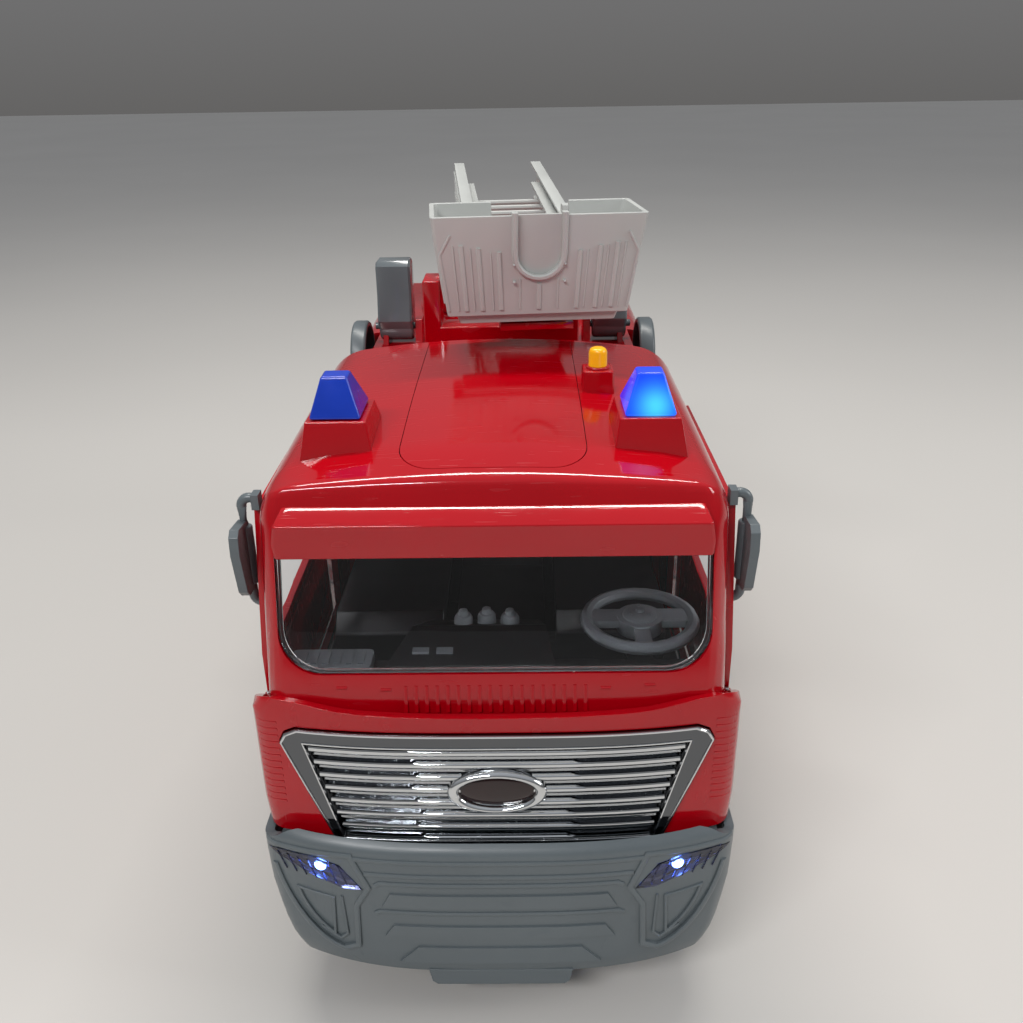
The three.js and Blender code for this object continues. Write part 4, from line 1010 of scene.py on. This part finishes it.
def make_bumper():
    """The bowed skin with its lamp openings, the foot's tab and the ledge behind its lip."""
    half = BUMPER["half"]
    xs = [-half + 5 * (1 - math.cos(math.radians(9 * i))) for i in range(11)]
    plan = [(-half, BUMPER["back"]), (-half, 30)] + [(x, None) for x in xs]
    plan += [(x, None) for x in [-66 + 66 * i / 22 for i in range(1, 23)]]
    plan += [(-x, y) for x, y in plan[-2::-1]]
    rings = []
    levels = [0, 0.04, 0.09, 0.15, 0.25, 0.4, 0.6, 0.8, 0.9, 0.94, 0.965, 0.985, 1]
    for level in levels:
        ring = []
        for x, y in plan:
            foot = BUMPER["bottom"]
            z = foot + (bumper_top(x) - foot) * level
            width = bumper_half(z) / half
            ring.append((x * width, bumper_front(x, z) if y is None else y, z))
        rings.append(ring)
    bm = bmesh.new()
    loft(bm, rings, closed=False, capped=False)
    obj = piece("bumper_skin", bm, "truck", GREY)
    thicken(obj, 2.8)
    cuts = bmesh.new()
    for side in (1, -1):
        polyline_prism(cuts, [(side * x, z) for x, z in lamp_outline(0.2)], "y", -5, 30)
    carve(obj, cuts)
    obj.data.set_sharp_from_angle(angle=math.radians(35))
    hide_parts("bumper")

    bm = bmesh.new()
    tab = [(-22.2, 20.4), (-21.2, 15.4), (-19.6, 14.2), (19.6, 14.2), (21.2, 15.4), (22.2, 20.4)]
    on_surface(bm, tab, lambda x, z: 1.0 + 5 * abs(x / 71) ** 3, 0.4, 3.2)
    piece("bumper_tab", bm, "truck", GREY, bevel=0.4)
    under, over, ledge_half, ledge_back = 60.0, 62.3, 66, 30
    bm = bmesh.new()
    loft(bm, [[(x, bumper_front(x, 62) + 0.5, z) for z in (under, over)]
              + [(x, ledge_back, z) for z in (over, under)]
              for x in range(-ledge_half, ledge_half + 1, 3)])
    piece("bumper_ledge", bm, "truck", GREY, crease=40)
    make_bumper_relief()
    for word, side in SIDES:
        make_headlamp(word, side)


def make_bumper_relief():
    """The moulded steps across the bumper and the framed quarters at its ends."""
    bm = bmesh.new()
    for z, half in ((63.2, 43), (58.0, 39.5)):
        ridge(bm, [(-half, z + 0.6), (half, z + 0.6)], 1.6, bumper_front, 0.5)
    ridge(bm, [(-36.6, 54.2), (-35, 55.4), (35, 55.4), (36.6, 54.2)], 1.5, bumper_front, 0.5)
    steps = ((32.2, 34.8, 51.6, 46.6), (31.6, 34.5, 39.3, 34.8), (24.6, 30.6, 30.8, 24.4))
    for top, low, high, foot in steps:
        plate = [(-low, foot), (low, foot), (top, high), (-top, high)]
        on_surface(bm, plate, bumper_front, 0.55)
    ridge(bm, [(-37, 43.4), (-35.4, 44.4), (35.4, 44.4), (37, 43.4)], 1.4, bumper_front, 0.5)
    for side in (1, -1):
        frame_line = [(69.6, 63.6), (43.4, 64.8), (38.6, 53.1), (42.6, 45.7), (43.3, 29.5), (47.9, 27.2)]
        curve = [tuple(bezier(((47.9, 27.2), (56, 29.5), (64, 40), (67.4, 56)), t / 8)) for t in range(1, 9)]
        ridge(bm, [(side * x, z) for x, z in frame_line + curve], 1.7, bumper_front, 0.65, step=2)
        inner = [(60.6, 48.8), (49.6, 47.6), (50.4, 33.0)]
        rise = [tuple(bezier(((50.4, 33.0), (55, 36), (59, 42), (60.6, 48.8)), t / 6)) for t in range(1, 6)]
        ridge(bm, [(side * x, z) for x, z in inner + rise], 0.9, bumper_front, 0.45, closed=True, step=2)
        ridge(bm, [(side * x, z) for x, z in ((47.0, 48.6), (46.4, 33.4), (48.6, 31.2), (54.4, 34.8))], 0.8,
              bumper_front, 0.4, step=2)
    piece("bumper_relief", bm, "truck", GREY)


def make_headlamp(word, side):
    """A fluted lens let into the bumper, its plated bowl and the lit dome behind it."""
    bm = bmesh.new()
    on_surface(bm, [(side * x, z) for x, z in lamp_outline(0)], bumper_front, 0.25, 1.2, 2)
    for i in range(7):
        x = 45 + 3.1 * i
        flute = [(side * x, 53.6 + 0.3 * i), (side * (x + 2.4), 60.6 + 0.1 * i)]
        ridge(bm, flute, 0.5, bumper_front, 0.5, step=2)
    lens = piece(f"headlamp_glass_{word}", bm, "truck", VIOLET)
    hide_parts(f"headlamp_lens_{word}")
    bm = bmesh.new()
    bowl = [(41.5, 53), (47, 52.8), (55, 55.8), (63, 59), (68, 61), (54, 61.8), (47.6, 59.8)]
    on_surface(bm, [(side * x, z) for x, z in bowl], lambda x, z: bumper_front(x, z) + 3.2, 0, 0.8, 2)
    piece(f"headlamp_reflector_{word}", bm, "truck", CHROME)
    bm = bmesh.new()
    dome = [(4.2, 0.5), (4.5, 1.3), (5.4, 1.8), (8.0, 1.9), (8.0, 2.4), (9.0, 2.4)]
    turned(bm, dome, "y", (side * 52.6, 0, 59.0), 24)
    piece(f"headlamp_led_{word}", bm, "truck", LED)


# ---------------------------------------------------------------- rescue bucket
def bucket_front(x, z):
    """The bucket's leaning front face."""
    return -13 - 7 * (z - BUCKET["low"]) / (BUCKET["high"] - BUCKET["low"])


def bucket_ring(inset, z):
    """The bucket's outline at this height, drawn in by inset."""
    t = (z - BUCKET["low"]) / (BUCKET["high"] - BUCKET["low"])
    half = BUCKET["foot"] + (BUCKET["rim"] - BUCKET["foot"]) * t - inset
    front, back = bucket_front(0, z) + inset, 14 + 3 * t - inset
    return [(x, y, z) for x, y in rounded(-half, half, front, back, 1.6, 3)]


def slot_line(half, top):
    """A round-bottomed slot, open upwards."""
    centre = BUCKET["round"]
    return [(-half, top)] + arc(0, centre, half, half, 180, 360, 12) + [(half, top)]


def make_bucket():
    """The tub with its slot and rear gap, the ribs on its face, and the step and gussets below."""
    low, high, wall = BUCKET["low"], BUCKET["high"], BUCKET["wall"]
    bm = bmesh.new()
    loft(bm, [bucket_ring(0, low), bucket_ring(0, high),
              bucket_ring(wall, high), bucket_ring(wall, low + wall)])
    tub = piece("bucket", bm, "bucket", LIGHT, place=TUB)
    cuts = bmesh.new()
    polyline_prism(cuts, slot_line(BUCKET["slot"], high + 4), "y", -30, -11)
    block(cuts, -14, 14, 10, 30, 27, 50)
    carve(tub, cuts, place=TUB)
    round_edges(tub, 0.3)
    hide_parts("rescue_bucket")

    bm = bmesh.new()
    on_surface(bm, slot_line(BUCKET["slot"] + 0.9, high), bucket_front, -1.3, 3.6, 3)
    ridge(bm, slot_line(BUCKET["slot"] + 0.4, high + 0.9), 2.0, bucket_front, 1.5, sink=2.8, step=2)
    for side in (1, -1):
        for x, top in ((13.0, 24.5), (19.5, 26.0), (25.0, 27.0)):
            for shift, width, lift in ((0, 1.5, 0.75), (2.6, 0.6, 0.35)):
                rib = [(side * (x + shift), 4.2), (side * (x + shift) * 1.06, top)]
                ridge(bm, rib, width, bucket_front, lift)
        ridge(bm, [(side * 31.0, 4.2), (side * 33.6, 24), (side * 30.0, 30.5)], 0.9, bucket_front, 0.4)
        for z in (14, 20, 26, 32):
            face = bucket_front(0, z)
            collar = [(face - 1.4, 0.25), (face - 1.1, 0.5), (face + 0.2, 0.5)]
            turned(bm, collar, "y", (side * 8.6, 0, z), 10)
    ridge(bm, [(0, 4.2), (0, 13.2)], 1.5, bucket_front, 0.75)
    for x in (-6.5, 6.5):
        ridge(bm, [(x, 4.2), (x, 15.0)], 0.6, bucket_front, 0.35)
    piece("bucket_relief", bm, "bucket", LIGHT, place=TUB)

    bm = bmesh.new()
    loft(bm, [[(x, y, z) for x, y in rounded(-a, a, b, c, 1.2, 3)]
              for a, b, c, z in ((27.4, -10.4, 12, -1), (28.6, -11.4, 12.8, 2.4))])
    for side in (1, -1):
        for y in (-9.0, 0.5, 10.0):
            loft(bm, [level(side * (x + 0.4), side * x - side * 1.2, y - 0.6, y + 0.6, z)
                      for x, z in ((32.3, 6), (35.6, 31))])
    piece("bucket_step", bm, "bucket", LIGHT, place=TUB, bevel=0.25)


# ---------------------------------------------------------------- ladder
def make_ladder_details():
    """Stiffening strips, slanting braces and stop blocks on the rails of both sections."""
    bm = bmesh.new()
    for side in (1, -1):
        for z in (10.2, 20.6):
            strip = [(-88, z), (28, z), (28, z + 1.0), (-88, z + 1.0)]
            polyline_prism(bm, strip, "x", *beside(side, 22.4, 23.1))
        for i in range(9):
            y = -84 + 13 * i
            brace = [(y, 11.4), (y + 1.2, 11.4), (y + 7.2, 20.4), (y + 6.0, 20.4)]
            polyline_prism(bm, brace, "x", *beside(side, 22.4, 22.9))
        stop = [(-95.4, 24.6), (-88, 24.6), (-89.5, 28.4), (-94.4, 28.4)]
        polyline_prism(bm, stop, "x", *beside(side, 18.5, 22.3))
    piece("ladder_trim", bm, "ladder", LIGHT, place=LADDER, bevel=0.15)
    bm = bmesh.new()
    for side in (1, -1):
        stop = [(-131, 21.1), (-123, 21.1), (-125, 25.4), (-130.4, 25.4)]
        polyline_prism(bm, stop, "x", *beside(side, 15.2, 18.5))
        for z in (12.0, 17.4):
            strip = [(-126, z), (-14, z), (-14, z + 0.9), (-126, z + 0.9)]
            polyline_prism(bm, strip, "x", *beside(side, 18.5, 19.0))
    piece("extension_trim", bm, "extension", LIGHT, place=LADDER, bevel=0.15)


# ---------------------------------------------------------------- mirrors
def make_mirror(word, side):
    """A bent tube from the door's top corner, and the slim head clipped on it."""
    at_y, reach, bend = 42.5, 72.8, 2.6
    path = [(68.2, at_y, 161.4), (70.4, at_y, 161.5)]
    path += [(x, at_y, z) for x, z in arc(reach - bend, 158.9, bend, bend, 80, 0, 6)]
    path += [(reach, at_y, 150), (reach, at_y, 132)]
    path += [(x, at_y, z) for x, z in arc(reach - bend, 130, bend, bend, -10, -90, 6)]
    path += [(68.4, at_y, 127.3)]
    bm = bmesh.new()
    swept(bm, [(side * x, y, z) for x, y, z in path], round_section(1.45, 14))
    block(bm, *beside(side, 67.2, 69.4), 40.4, 44.8, 158.4, 162.9)
    arm = piece(f"mirror_tube_{word}", bm, f"door_{word}", GREY)
    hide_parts(f"mirror_arm_{word}")
    bm = bmesh.new()
    face = [(44.6, 133.6), (45.3, 140), (45.0, 151.5), (43.4, 154.2), (34.2, 155.2),
            (32.2, 153.4), (31.6, 148), (34.4, 134.8), (36.6, 132.6), (43.2, 132.2)]
    polyline_prism(bm, face, "x", *beside(side, 71.9, 74.7))
    rod(bm, "z", 2.3, 134, 152.6, (side * reach, at_y), 20)
    head = piece(f"mirror_{word}", bm, f"mirror_{word}", GREY, bevel=0.5, steps=3)
    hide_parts(f"mirror_head_{word}")


# ---------------------------------------------------------------- rear body
def body_section(inset):
    """The rear body's section across the truck, open at its foot, with round deck edges."""
    half, top, r = BOX["half"] - inset, BOX["deck"] - inset, BOX["round"] - inset
    return ([(-half, BOX["foot"])] + arc(-half + r, top - r, r, r, 180, 90, 10)
            + arc(half - r, top - r, r, r, 90, 0, 10) + [(half, BOX["foot"])])


def make_rear_body():
    """The box behind the cab: sides with shutter bays, reel pockets, wheel arches and a deck."""
    bm = bmesh.new()
    rows = ((0.8, BOX["front"]), (0.25, BOX["front"] + 0.25), (0, BOX["front"] + 0.8),
            (0, BOX["back"] - 1.6), (0.5, BOX["back"] - 0.5), (1.6, BOX["back"]))
    loft(bm, [[(x, y, z) for x, z in body_section(inset)] for inset, y in rows])
    shell = piece("rear_box", bm, "truck", RED)
    cuts = bmesh.new()
    inner = [(x, z if z > 60 else 40) for x, z in body_section(WALL)]
    loft(cuts, [[(x, y, z) for x, z in inner] for y in (BOX["front"] + WALL, BOX["back"] - WALL)])
    carve(shell, cuts)
    for side in (1, -1):
        cuts = bmesh.new()
        arch_cut(cuts, side, WHEEL["rear"], 72)
        carve(shell, cuts)
        cuts = bmesh.new()
        block(cuts, *beside(side, 57, 80), 195.5, 234.5, 133.5, 190)
        carve(shell, cuts)
        cuts = bmesh.new()
        block(cuts, *beside(side, 65.4, 80), 158.5, 190.5, 58, 128)
        block(cuts, *beside(side, 65.4, 80), 191.9, 340, 78, 128)
        carve(shell, cuts)
        cuts = bmesh.new()
        block(cuts, *beside(side, 46, 60), 340, 350, 64, 96)
        carve(shell, cuts)
    cuts = bmesh.new()
    rod(cuts, "z", 11.4, 140, 170, (0, TURRET_Y), 48)
    carve(shell, cuts)
    shell.data.set_sharp_from_angle(angle=math.radians(32))
    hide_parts("rear_body")
    make_deck_fittings()
    make_shutters()
    make_back_wall()


def make_deck_fittings():
    """The reel pockets' walls, the turret's round pad, the arms' brackets and rows of tread ribs."""
    bm = bmesh.new()
    for side in (1, -1):
        tub = [(195.5, 133.5), (234.5, 133.5), (234.5, 158), (195.5, 158)]
        polyline_prism(bm, [(y, z) for y, z in tub], "x", *beside(side, 56, 57))
        block(bm, *beside(side, 56, 64.2), 193.6, 195.4, 132, 157.6)
        block(bm, *beside(side, 56, 64.2), 234.6, 236.4, 132, 157.6)
        block(bm, *beside(side, 56, 64.2), 193.6, 236.4, 131.8, 133.4)
    loft(bm, [[(x, y, z) for x, y in arc(0, TURRET_Y, r, r, 0, 360, 64)[:-1]]
              for r, z in ((43, 159.6), (43, 161.6), (42.5, 162), (12, 162), (11.6, 159.6))])
    for side in (1, -1):
        for near, far in ((35.5, 38.7), (50.6, 53)):
            profile = [(212, 159.6), (228, 159.6), (223, 170.4), (216, 170.4)]
            polyline_prism(bm, profile, "x", *beside(side, near, far))
    for x in (-52, -39, 39, 52):
        for i in range(7):
            y = 250 + 12 * i
            loft(bm, [level(x, x + 1.6, y - 5, y + 5, 159.8),
                      level(x + 0.4, x + 1.2, y - 4.6, y + 4.6, 160.5)])
    piece("deck_fittings", bm, "truck", RED, bevel=0.3)


def make_shutters():
    """Slatted shutters in their bays, each with a bar handle at its foot."""
    bays = ((159.2, 189.8, 58.6), (192.6, 236, 78.6), (237.6, 306, 78.6), (307.6, 339.4, 78.6))
    slat = ((64.9, 0), (65.9, 0), (66.1, 1.3), (65.6, 2.9), (64.9, 2.9))
    pitch, top = 3.4, 125
    slats = bmesh.new()
    handles = bmesh.new()
    for side in (1, -1):
        for y0, y1, low in bays:
            z = low
            while z < top:
                loft(slats, [[(side * x, y, z + rise) for x, rise in slat] for y in (y0, y1)])
                z += pitch
            middle = (y0 + y1) / 2
            rod(handles, "y", 1.0, middle - 8, middle + 8, (side * 67.6, low + 7), 14)
            for y in (middle - 7, middle + 7):
                rod(handles, "x", 0.8, *beside(side, 64.9, 67.8), (y, low + 7), 12)
    piece("shutter_slats", slats, "truck", HUB, crease=30)
    piece("shutter_handles", handles, "truck", GREY, crease=40)


def make_back_wall():
    """Two doors drawn on the back wall with their hinges and latches."""
    back = BOX["back"]
    bm = bmesh.new()
    outline = [(2.0, 62), (42.5, 62), (42.5, 146), (38.5, 150), (2.0, 150)]
    half_line = 0.8
    for side in (1, -1):
        for (x0, z0), (x1, z1) in zip(outline, outline[1:] + outline[:1]):
            along = Vector((x1 - x0, z1 - z0)).normalized()
            across = Vector((-along.y, along.x)) * half_line
            corners = [(x0 + across.x, z0 + across.y), (x0 - across.x, z0 - across.y),
                       (x1 - across.x, z1 - across.y), (x1 + across.x, z1 + across.y)]
            polyline_prism(bm, [(side * x, z) for x, z in corners], "y", back - 0.5, back + 0.7)
        for z in (74, 106, 138):
            rod(bm, "z", 1.5, z - 5, z + 5, (side * 44.6, back + 0.6), 16)
        for z in range(84, 121, 12):
            block(bm, *beside(side, 9, 35), back - 0.4, back + 0.6, z, z + 2)
    piece("back_doors", bm, "truck", RED, bevel=0.25)
    bm = bmesh.new()
    for side in (1, -1):
        block(bm, *beside(side, 4.2, 7.4), back - 0.4, back + 1.6, 98, 116)
    rod(bm, "z", 1.1, 66, 146, (0, back + 0.4), 14)
    piece("back_latches", bm, "truck", GREY, bevel=0.3)


# ---------------------------------------------------------------- wheels
def make_tyre(name, body, side, y):
    """A tyre with three grooves round it and staggered blocks along both shoulders."""
    inner, outer, rim = 41.5, 65.5, 20
    axle = WHEEL["radius"]
    shoulder = [(2, rim + 0.3), (0, rim + 1.4), (0, 24), (0.5, 27), (1.4, 29.6), (2.6, 30.8)]
    tread = []
    for offset, first_height in ((4.2, 31.4), (9.4, 32), (14.6, 32)):
        x = inner + offset
        tread += [(x, 31.1), (x + 0.3, first_height), (x + 4.0, 32), (x + 4.3, 31.1)]
    profile = [(inner + x, r) for x, r in shoulder] + tread + [(outer - x, r) for x, r in shoulder[::-1]]
    bm = bmesh.new()
    rings = [[(side * x, y + r * math.cos(t), axle + r * math.sin(t)) for t in circle(72)]
             for x, r in profile]
    loft(bm, rings + [rings[0]], capped=False)
    blocks, wide = 30, 2.2
    for i in range(blocks):
        for x0, x1, shift in ((inner + 1.5, inner + 5.1, 0.0), (outer - 5.1, outer - 1.5, 0.5)):
            turn = Matrix.Rotation(2 * math.pi * (i + shift) / blocks, 4, "X")
            foot = level(x0, x1, -wide, wide, 29.6)
            top = [(x, v * 0.9, 31.85) for x, v, _ in foot]
            turned_rows = [[turn @ Vector(corner) for corner in row] for row in (foot, top)]
            loft(bm, [[(side * p.x, y + p.y, axle + p.z) for p in row] for row in turned_rows])
    return piece(name, bm, body, RUBBER, crease=35)


def make_wheels():
    """The four tyres, on their axles' bodies."""
    for word, side in SIDES:
        for end in ("front", "rear"):
            tyre = make_tyre(f"tread_{end}_{word}", f"{end}_wheels", side, WHEEL[end])
            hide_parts(f"tyre_{end}_{word}")


# ---------------------------------------------------------------- cab fittings
def make_dash_fittings():
    """Knobs on the wedge console, a flat box with slots beside it, and the steering wheel's hub."""
    bm = bmesh.new()
    for x, y in ((-10, 41.5), (-3, 42.5), (4, 41.5)):
        turned(bm, [(118.5, 2.9), (121.6, 2.8), (122.6, 2.3), (122.9, 0.8)], "z", (x, y, 0), 24)
        turned(bm, [(122.7, 1.5), (124.2, 1.3), (124.5, 0.6)], "z", (x, y, 0), 16)
    loft(bm, [[(x, y, z) for x, y in rounded(-60, -36, y0, y1, 1.5, 3)]
              for z, y0, y1 in ((113, 22, 33), (116.6, 22.6, 32.4))])
    for i in range(6):
        block(bm, -57 + 3.4 * i, -55.2 + 3.4 * i, 24.5, 30.5, 116.4, 117.1)
    for x in (-22, -15):
        block(bm, x - 2.4, x + 2.4, 28, 32, 116.5, 118.3)
    piece("dash_fittings", bm, "truck", STEER, crease=40)
    bm = bmesh.new()
    x, y, z = STEERING["x"], STEERING["y"], STEERING["z"]
    turned(bm, [(z - 1.5, 5.6), (z + 2.2, 5.2), (z + 3.0, 4.2), (z + 3.2, 1.0)], "z", (x, y, 0), 32)
    turned(bm, [(z + 3.0, 1.4), (z + 3.9, 1.2), (z + 4.1, 0.5)], "z", (x, y, 0), 20)
    for t in range(3):
        a = math.radians(90 + 120 * t)
        stud = (x + 3.4 * math.cos(a), y + 3.4 * math.sin(a), 0)
        turned(bm, [(z + 2.8, 0.6), (z + 3.5, 0.5)], "z", stud, 12)
    piece("steering_hub", bm, "steering", STEER, crease=40)


# ---------------------------------------------------------------- cab doors
def make_door_trim():
    """A grab handle on each door and three swage lines along its foot."""
    for word, side in SIDES:
        bm = bmesh.new()
        rod(bm, "y", 0.9, 105, 121, (side * 69.2, 102.6), 14)
        block(bm, *beside(side, 68.2, 69.6), 103.6, 106, 101.2, 104)
        block(bm, *beside(side, 68.2, 69.6), 120, 122.4, 101.2, 104)
        piece(f"door_handle_{word}", bm, f"door_{word}", GREY, bevel=0.25)
        bm = bmesh.new()
        for z in (80, 83, 86):
            section = ((69.2, 0), (69.9, 0.3), (69.9, 0.9), (69.2, 1.2))
            loft(bm, [[(side * x, y, z + rise) for x, rise in section] for y in (72, 124)])
        piece(f"door_swage_{word}", bm, f"door_{word}", RED, crease=30)


# ---------------------------------------------------------------- kept CAD nodes
def dress_the_rest():
    """The nodes whose CAD shape stays, each with its real material and how far its edges round off."""
    looks = {
        "horn_button": (YELLOW, 0.2), "button_spring": (STEEL, 0.05),
        "button_switch": (DARK, 0.2), "cab_floor": (DARK, 0.4), "dashboard": (DARK, 0.5),
        "steering_wheel": (STEER, 0.4), "chassis": (DARK, 0.4), "cover_screw": (STEEL, 0.1),
        "battery_cover": (DARK, 0.3), "front_axle": (STEEL, 0.2), "rear_axle": (STEEL, 0.2),
        "ladder_rest": (RED, 0.6), "rear_step": (GREY, 0.6), "speaker": (DARK, 0.3),
        "circuit_board": (BOARD, 0.1), "battery_pack": (SLEEVE, 0.2), "bench_seat": (DARK, 1.0),
        "headlamp_board": (BOARD, 0.1), "beacon_board": (BOARD, 0.1), "turret": (RED, 0.6),
        "turret_pin": (STEEL, 0.2), "ladder_base": (LIGHT, 0.25), "ladder_extension": (LIGHT, 0.25),
        "bucket_bracket": (RED, 0.3),
    }
    paired = {
        "door": (RED, 0.45), "door_pin": (STEEL, 0.1), "tail_lamp": (LAMP_RED, 0.4),
        "hub_front": (HUB, 0.3), "hub_rear": (HUB, 0.3),
        "support_arm": (GLOSS, 1.1), "hose_reel": (GREY, 0.3),
    }
    for word, _ in SIDES:
        for node, (look, bevel) in paired.items():
            looks[f"{node}_{word}"] = (look, bevel)
    for node, (look, bevel) in looks.items():
        dress(node, look, bevel)


make_cab()
make_windscreen()
make_visor()
for beacon_side in SIDES:
    make_beacon(*beacon_side)
make_lower_panel()
make_grille()
make_bumper()
make_bucket()
make_ladder_details()
for mirror_side in SIDES:
    make_mirror(*mirror_side)
make_rear_body()
make_wheels()
make_door_trim()
make_dash_fittings()
dress_the_rest()


# ---------------------------------------------------------------- floor, light and camera
def make_stage():
    """The plain pale floor."""
    floor = bpy.data.meshes.new("floor")
    reach = 6.0
    floor.from_pydata(level(-reach, reach, -reach, reach, 0), [], [(0, 1, 2, 3)])
    ground = bpy.data.objects.new("floor", floor)
    bpy.context.scene.collection.objects.link(ground)
    material, tree, shader = start("pale_floor", Roughness=0.7)
    spot = add(tree, "TexCoord").outputs["Object"]
    tree.links.new(tinted(tree, "#bdbab6", spot, 400, 0.02), shader.inputs["Base Color"])
    floor.materials.append(material)


def softbox(name, spot, aim, width, depth, power, tone="#ffffff"):
    """A rectangular studio light, width by depth metres, of this many watts, facing aim."""
    light = bpy.data.lights.new(name, "AREA")
    light.shape = "RECTANGLE"
    light.size, light.size_y, light.energy = width, depth, power
    light.color = paint(tone)[:3]
    lamp = bpy.data.objects.new(name, light)
    lamp.location = spot
    lamp.rotation_mode = "QUATERNION"
    lamp.rotation_quaternion = (Vector(aim) - Vector(spot)).to_track_quat("-Z", "Y")
    bpy.context.scene.collection.objects.link(lamp)


def make_light():
    """A dim room that is lighter overhead, with a strip above, a strip in front and a side softbox."""
    world = bpy.data.worlds.new("studio")
    world.use_nodes = True
    tree = world.node_tree
    way = add(tree, "TexCoord").outputs["Generated"]
    height = add(tree, "SeparateXYZ", {"Vector": way}).outputs["Z"]
    tone = add(tree, "ValToRGB", {"Fac": ramp(tree, height, 0.0, 1.0, -0.1, 1.0)})
    tone.color_ramp.elements[0].color = paint("#6e6c6a")
    tone.color_ramp.elements[1].color = paint("#d6dae0")
    sky = tree.nodes["Background"]
    tree.links.new(tone.outputs["Color"], sky.inputs["Color"])
    sky.inputs["Strength"].default_value = 0.7
    bpy.context.scene.world = world
    softbox("overhead", (0.0, 0.2, 1.3), (0, -0.05, 0.1), 1.0, 0.1, 12, "#fdfaf4")
    softbox("front", (-0.5, -1.1, 1.1), (0, -0.1, 0.1), 0.7, 0.1, 11)
    softbox("side", (1.4, -0.3, 0.8), (0, 0, 0.1), 0.5, 0.6, 7)


def make_camera():
    """Looks down on the cab from in front, a hand's breadth above the roof and slightly tilted."""
    camera = bpy.data.cameras.new("camera")
    camera.sensor_width = VIEW["sensor"]
    camera.lens = VIEW["focal"]
    camera.clip_start, camera.clip_end = 0.01, 50
    yaw, pitch, roll = [math.radians(degrees) for degrees in VIEW["turns"]]
    ahead = Vector((math.sin(yaw) * math.cos(pitch), math.cos(yaw) * math.cos(pitch), -math.sin(pitch)))
    right = Vector((math.cos(yaw), -math.sin(yaw), 0))
    up = right.cross(ahead)
    tilted = right * math.cos(roll) + up * math.sin(roll)
    upright = up * math.cos(roll) - right * math.sin(roll)
    holder = bpy.data.objects.new("camera", camera)
    turn = Matrix((tilted, upright, -ahead)).transposed().to_4x4()
    holder.matrix_world = Matrix.Translation(VIEW["from"]) @ turn
    bpy.context.scene.collection.objects.link(holder)
    bpy.context.scene.camera = holder


make_stage()
make_light()
make_camera()
bpy.context.scene.view_settings.view_transform = "Standard"
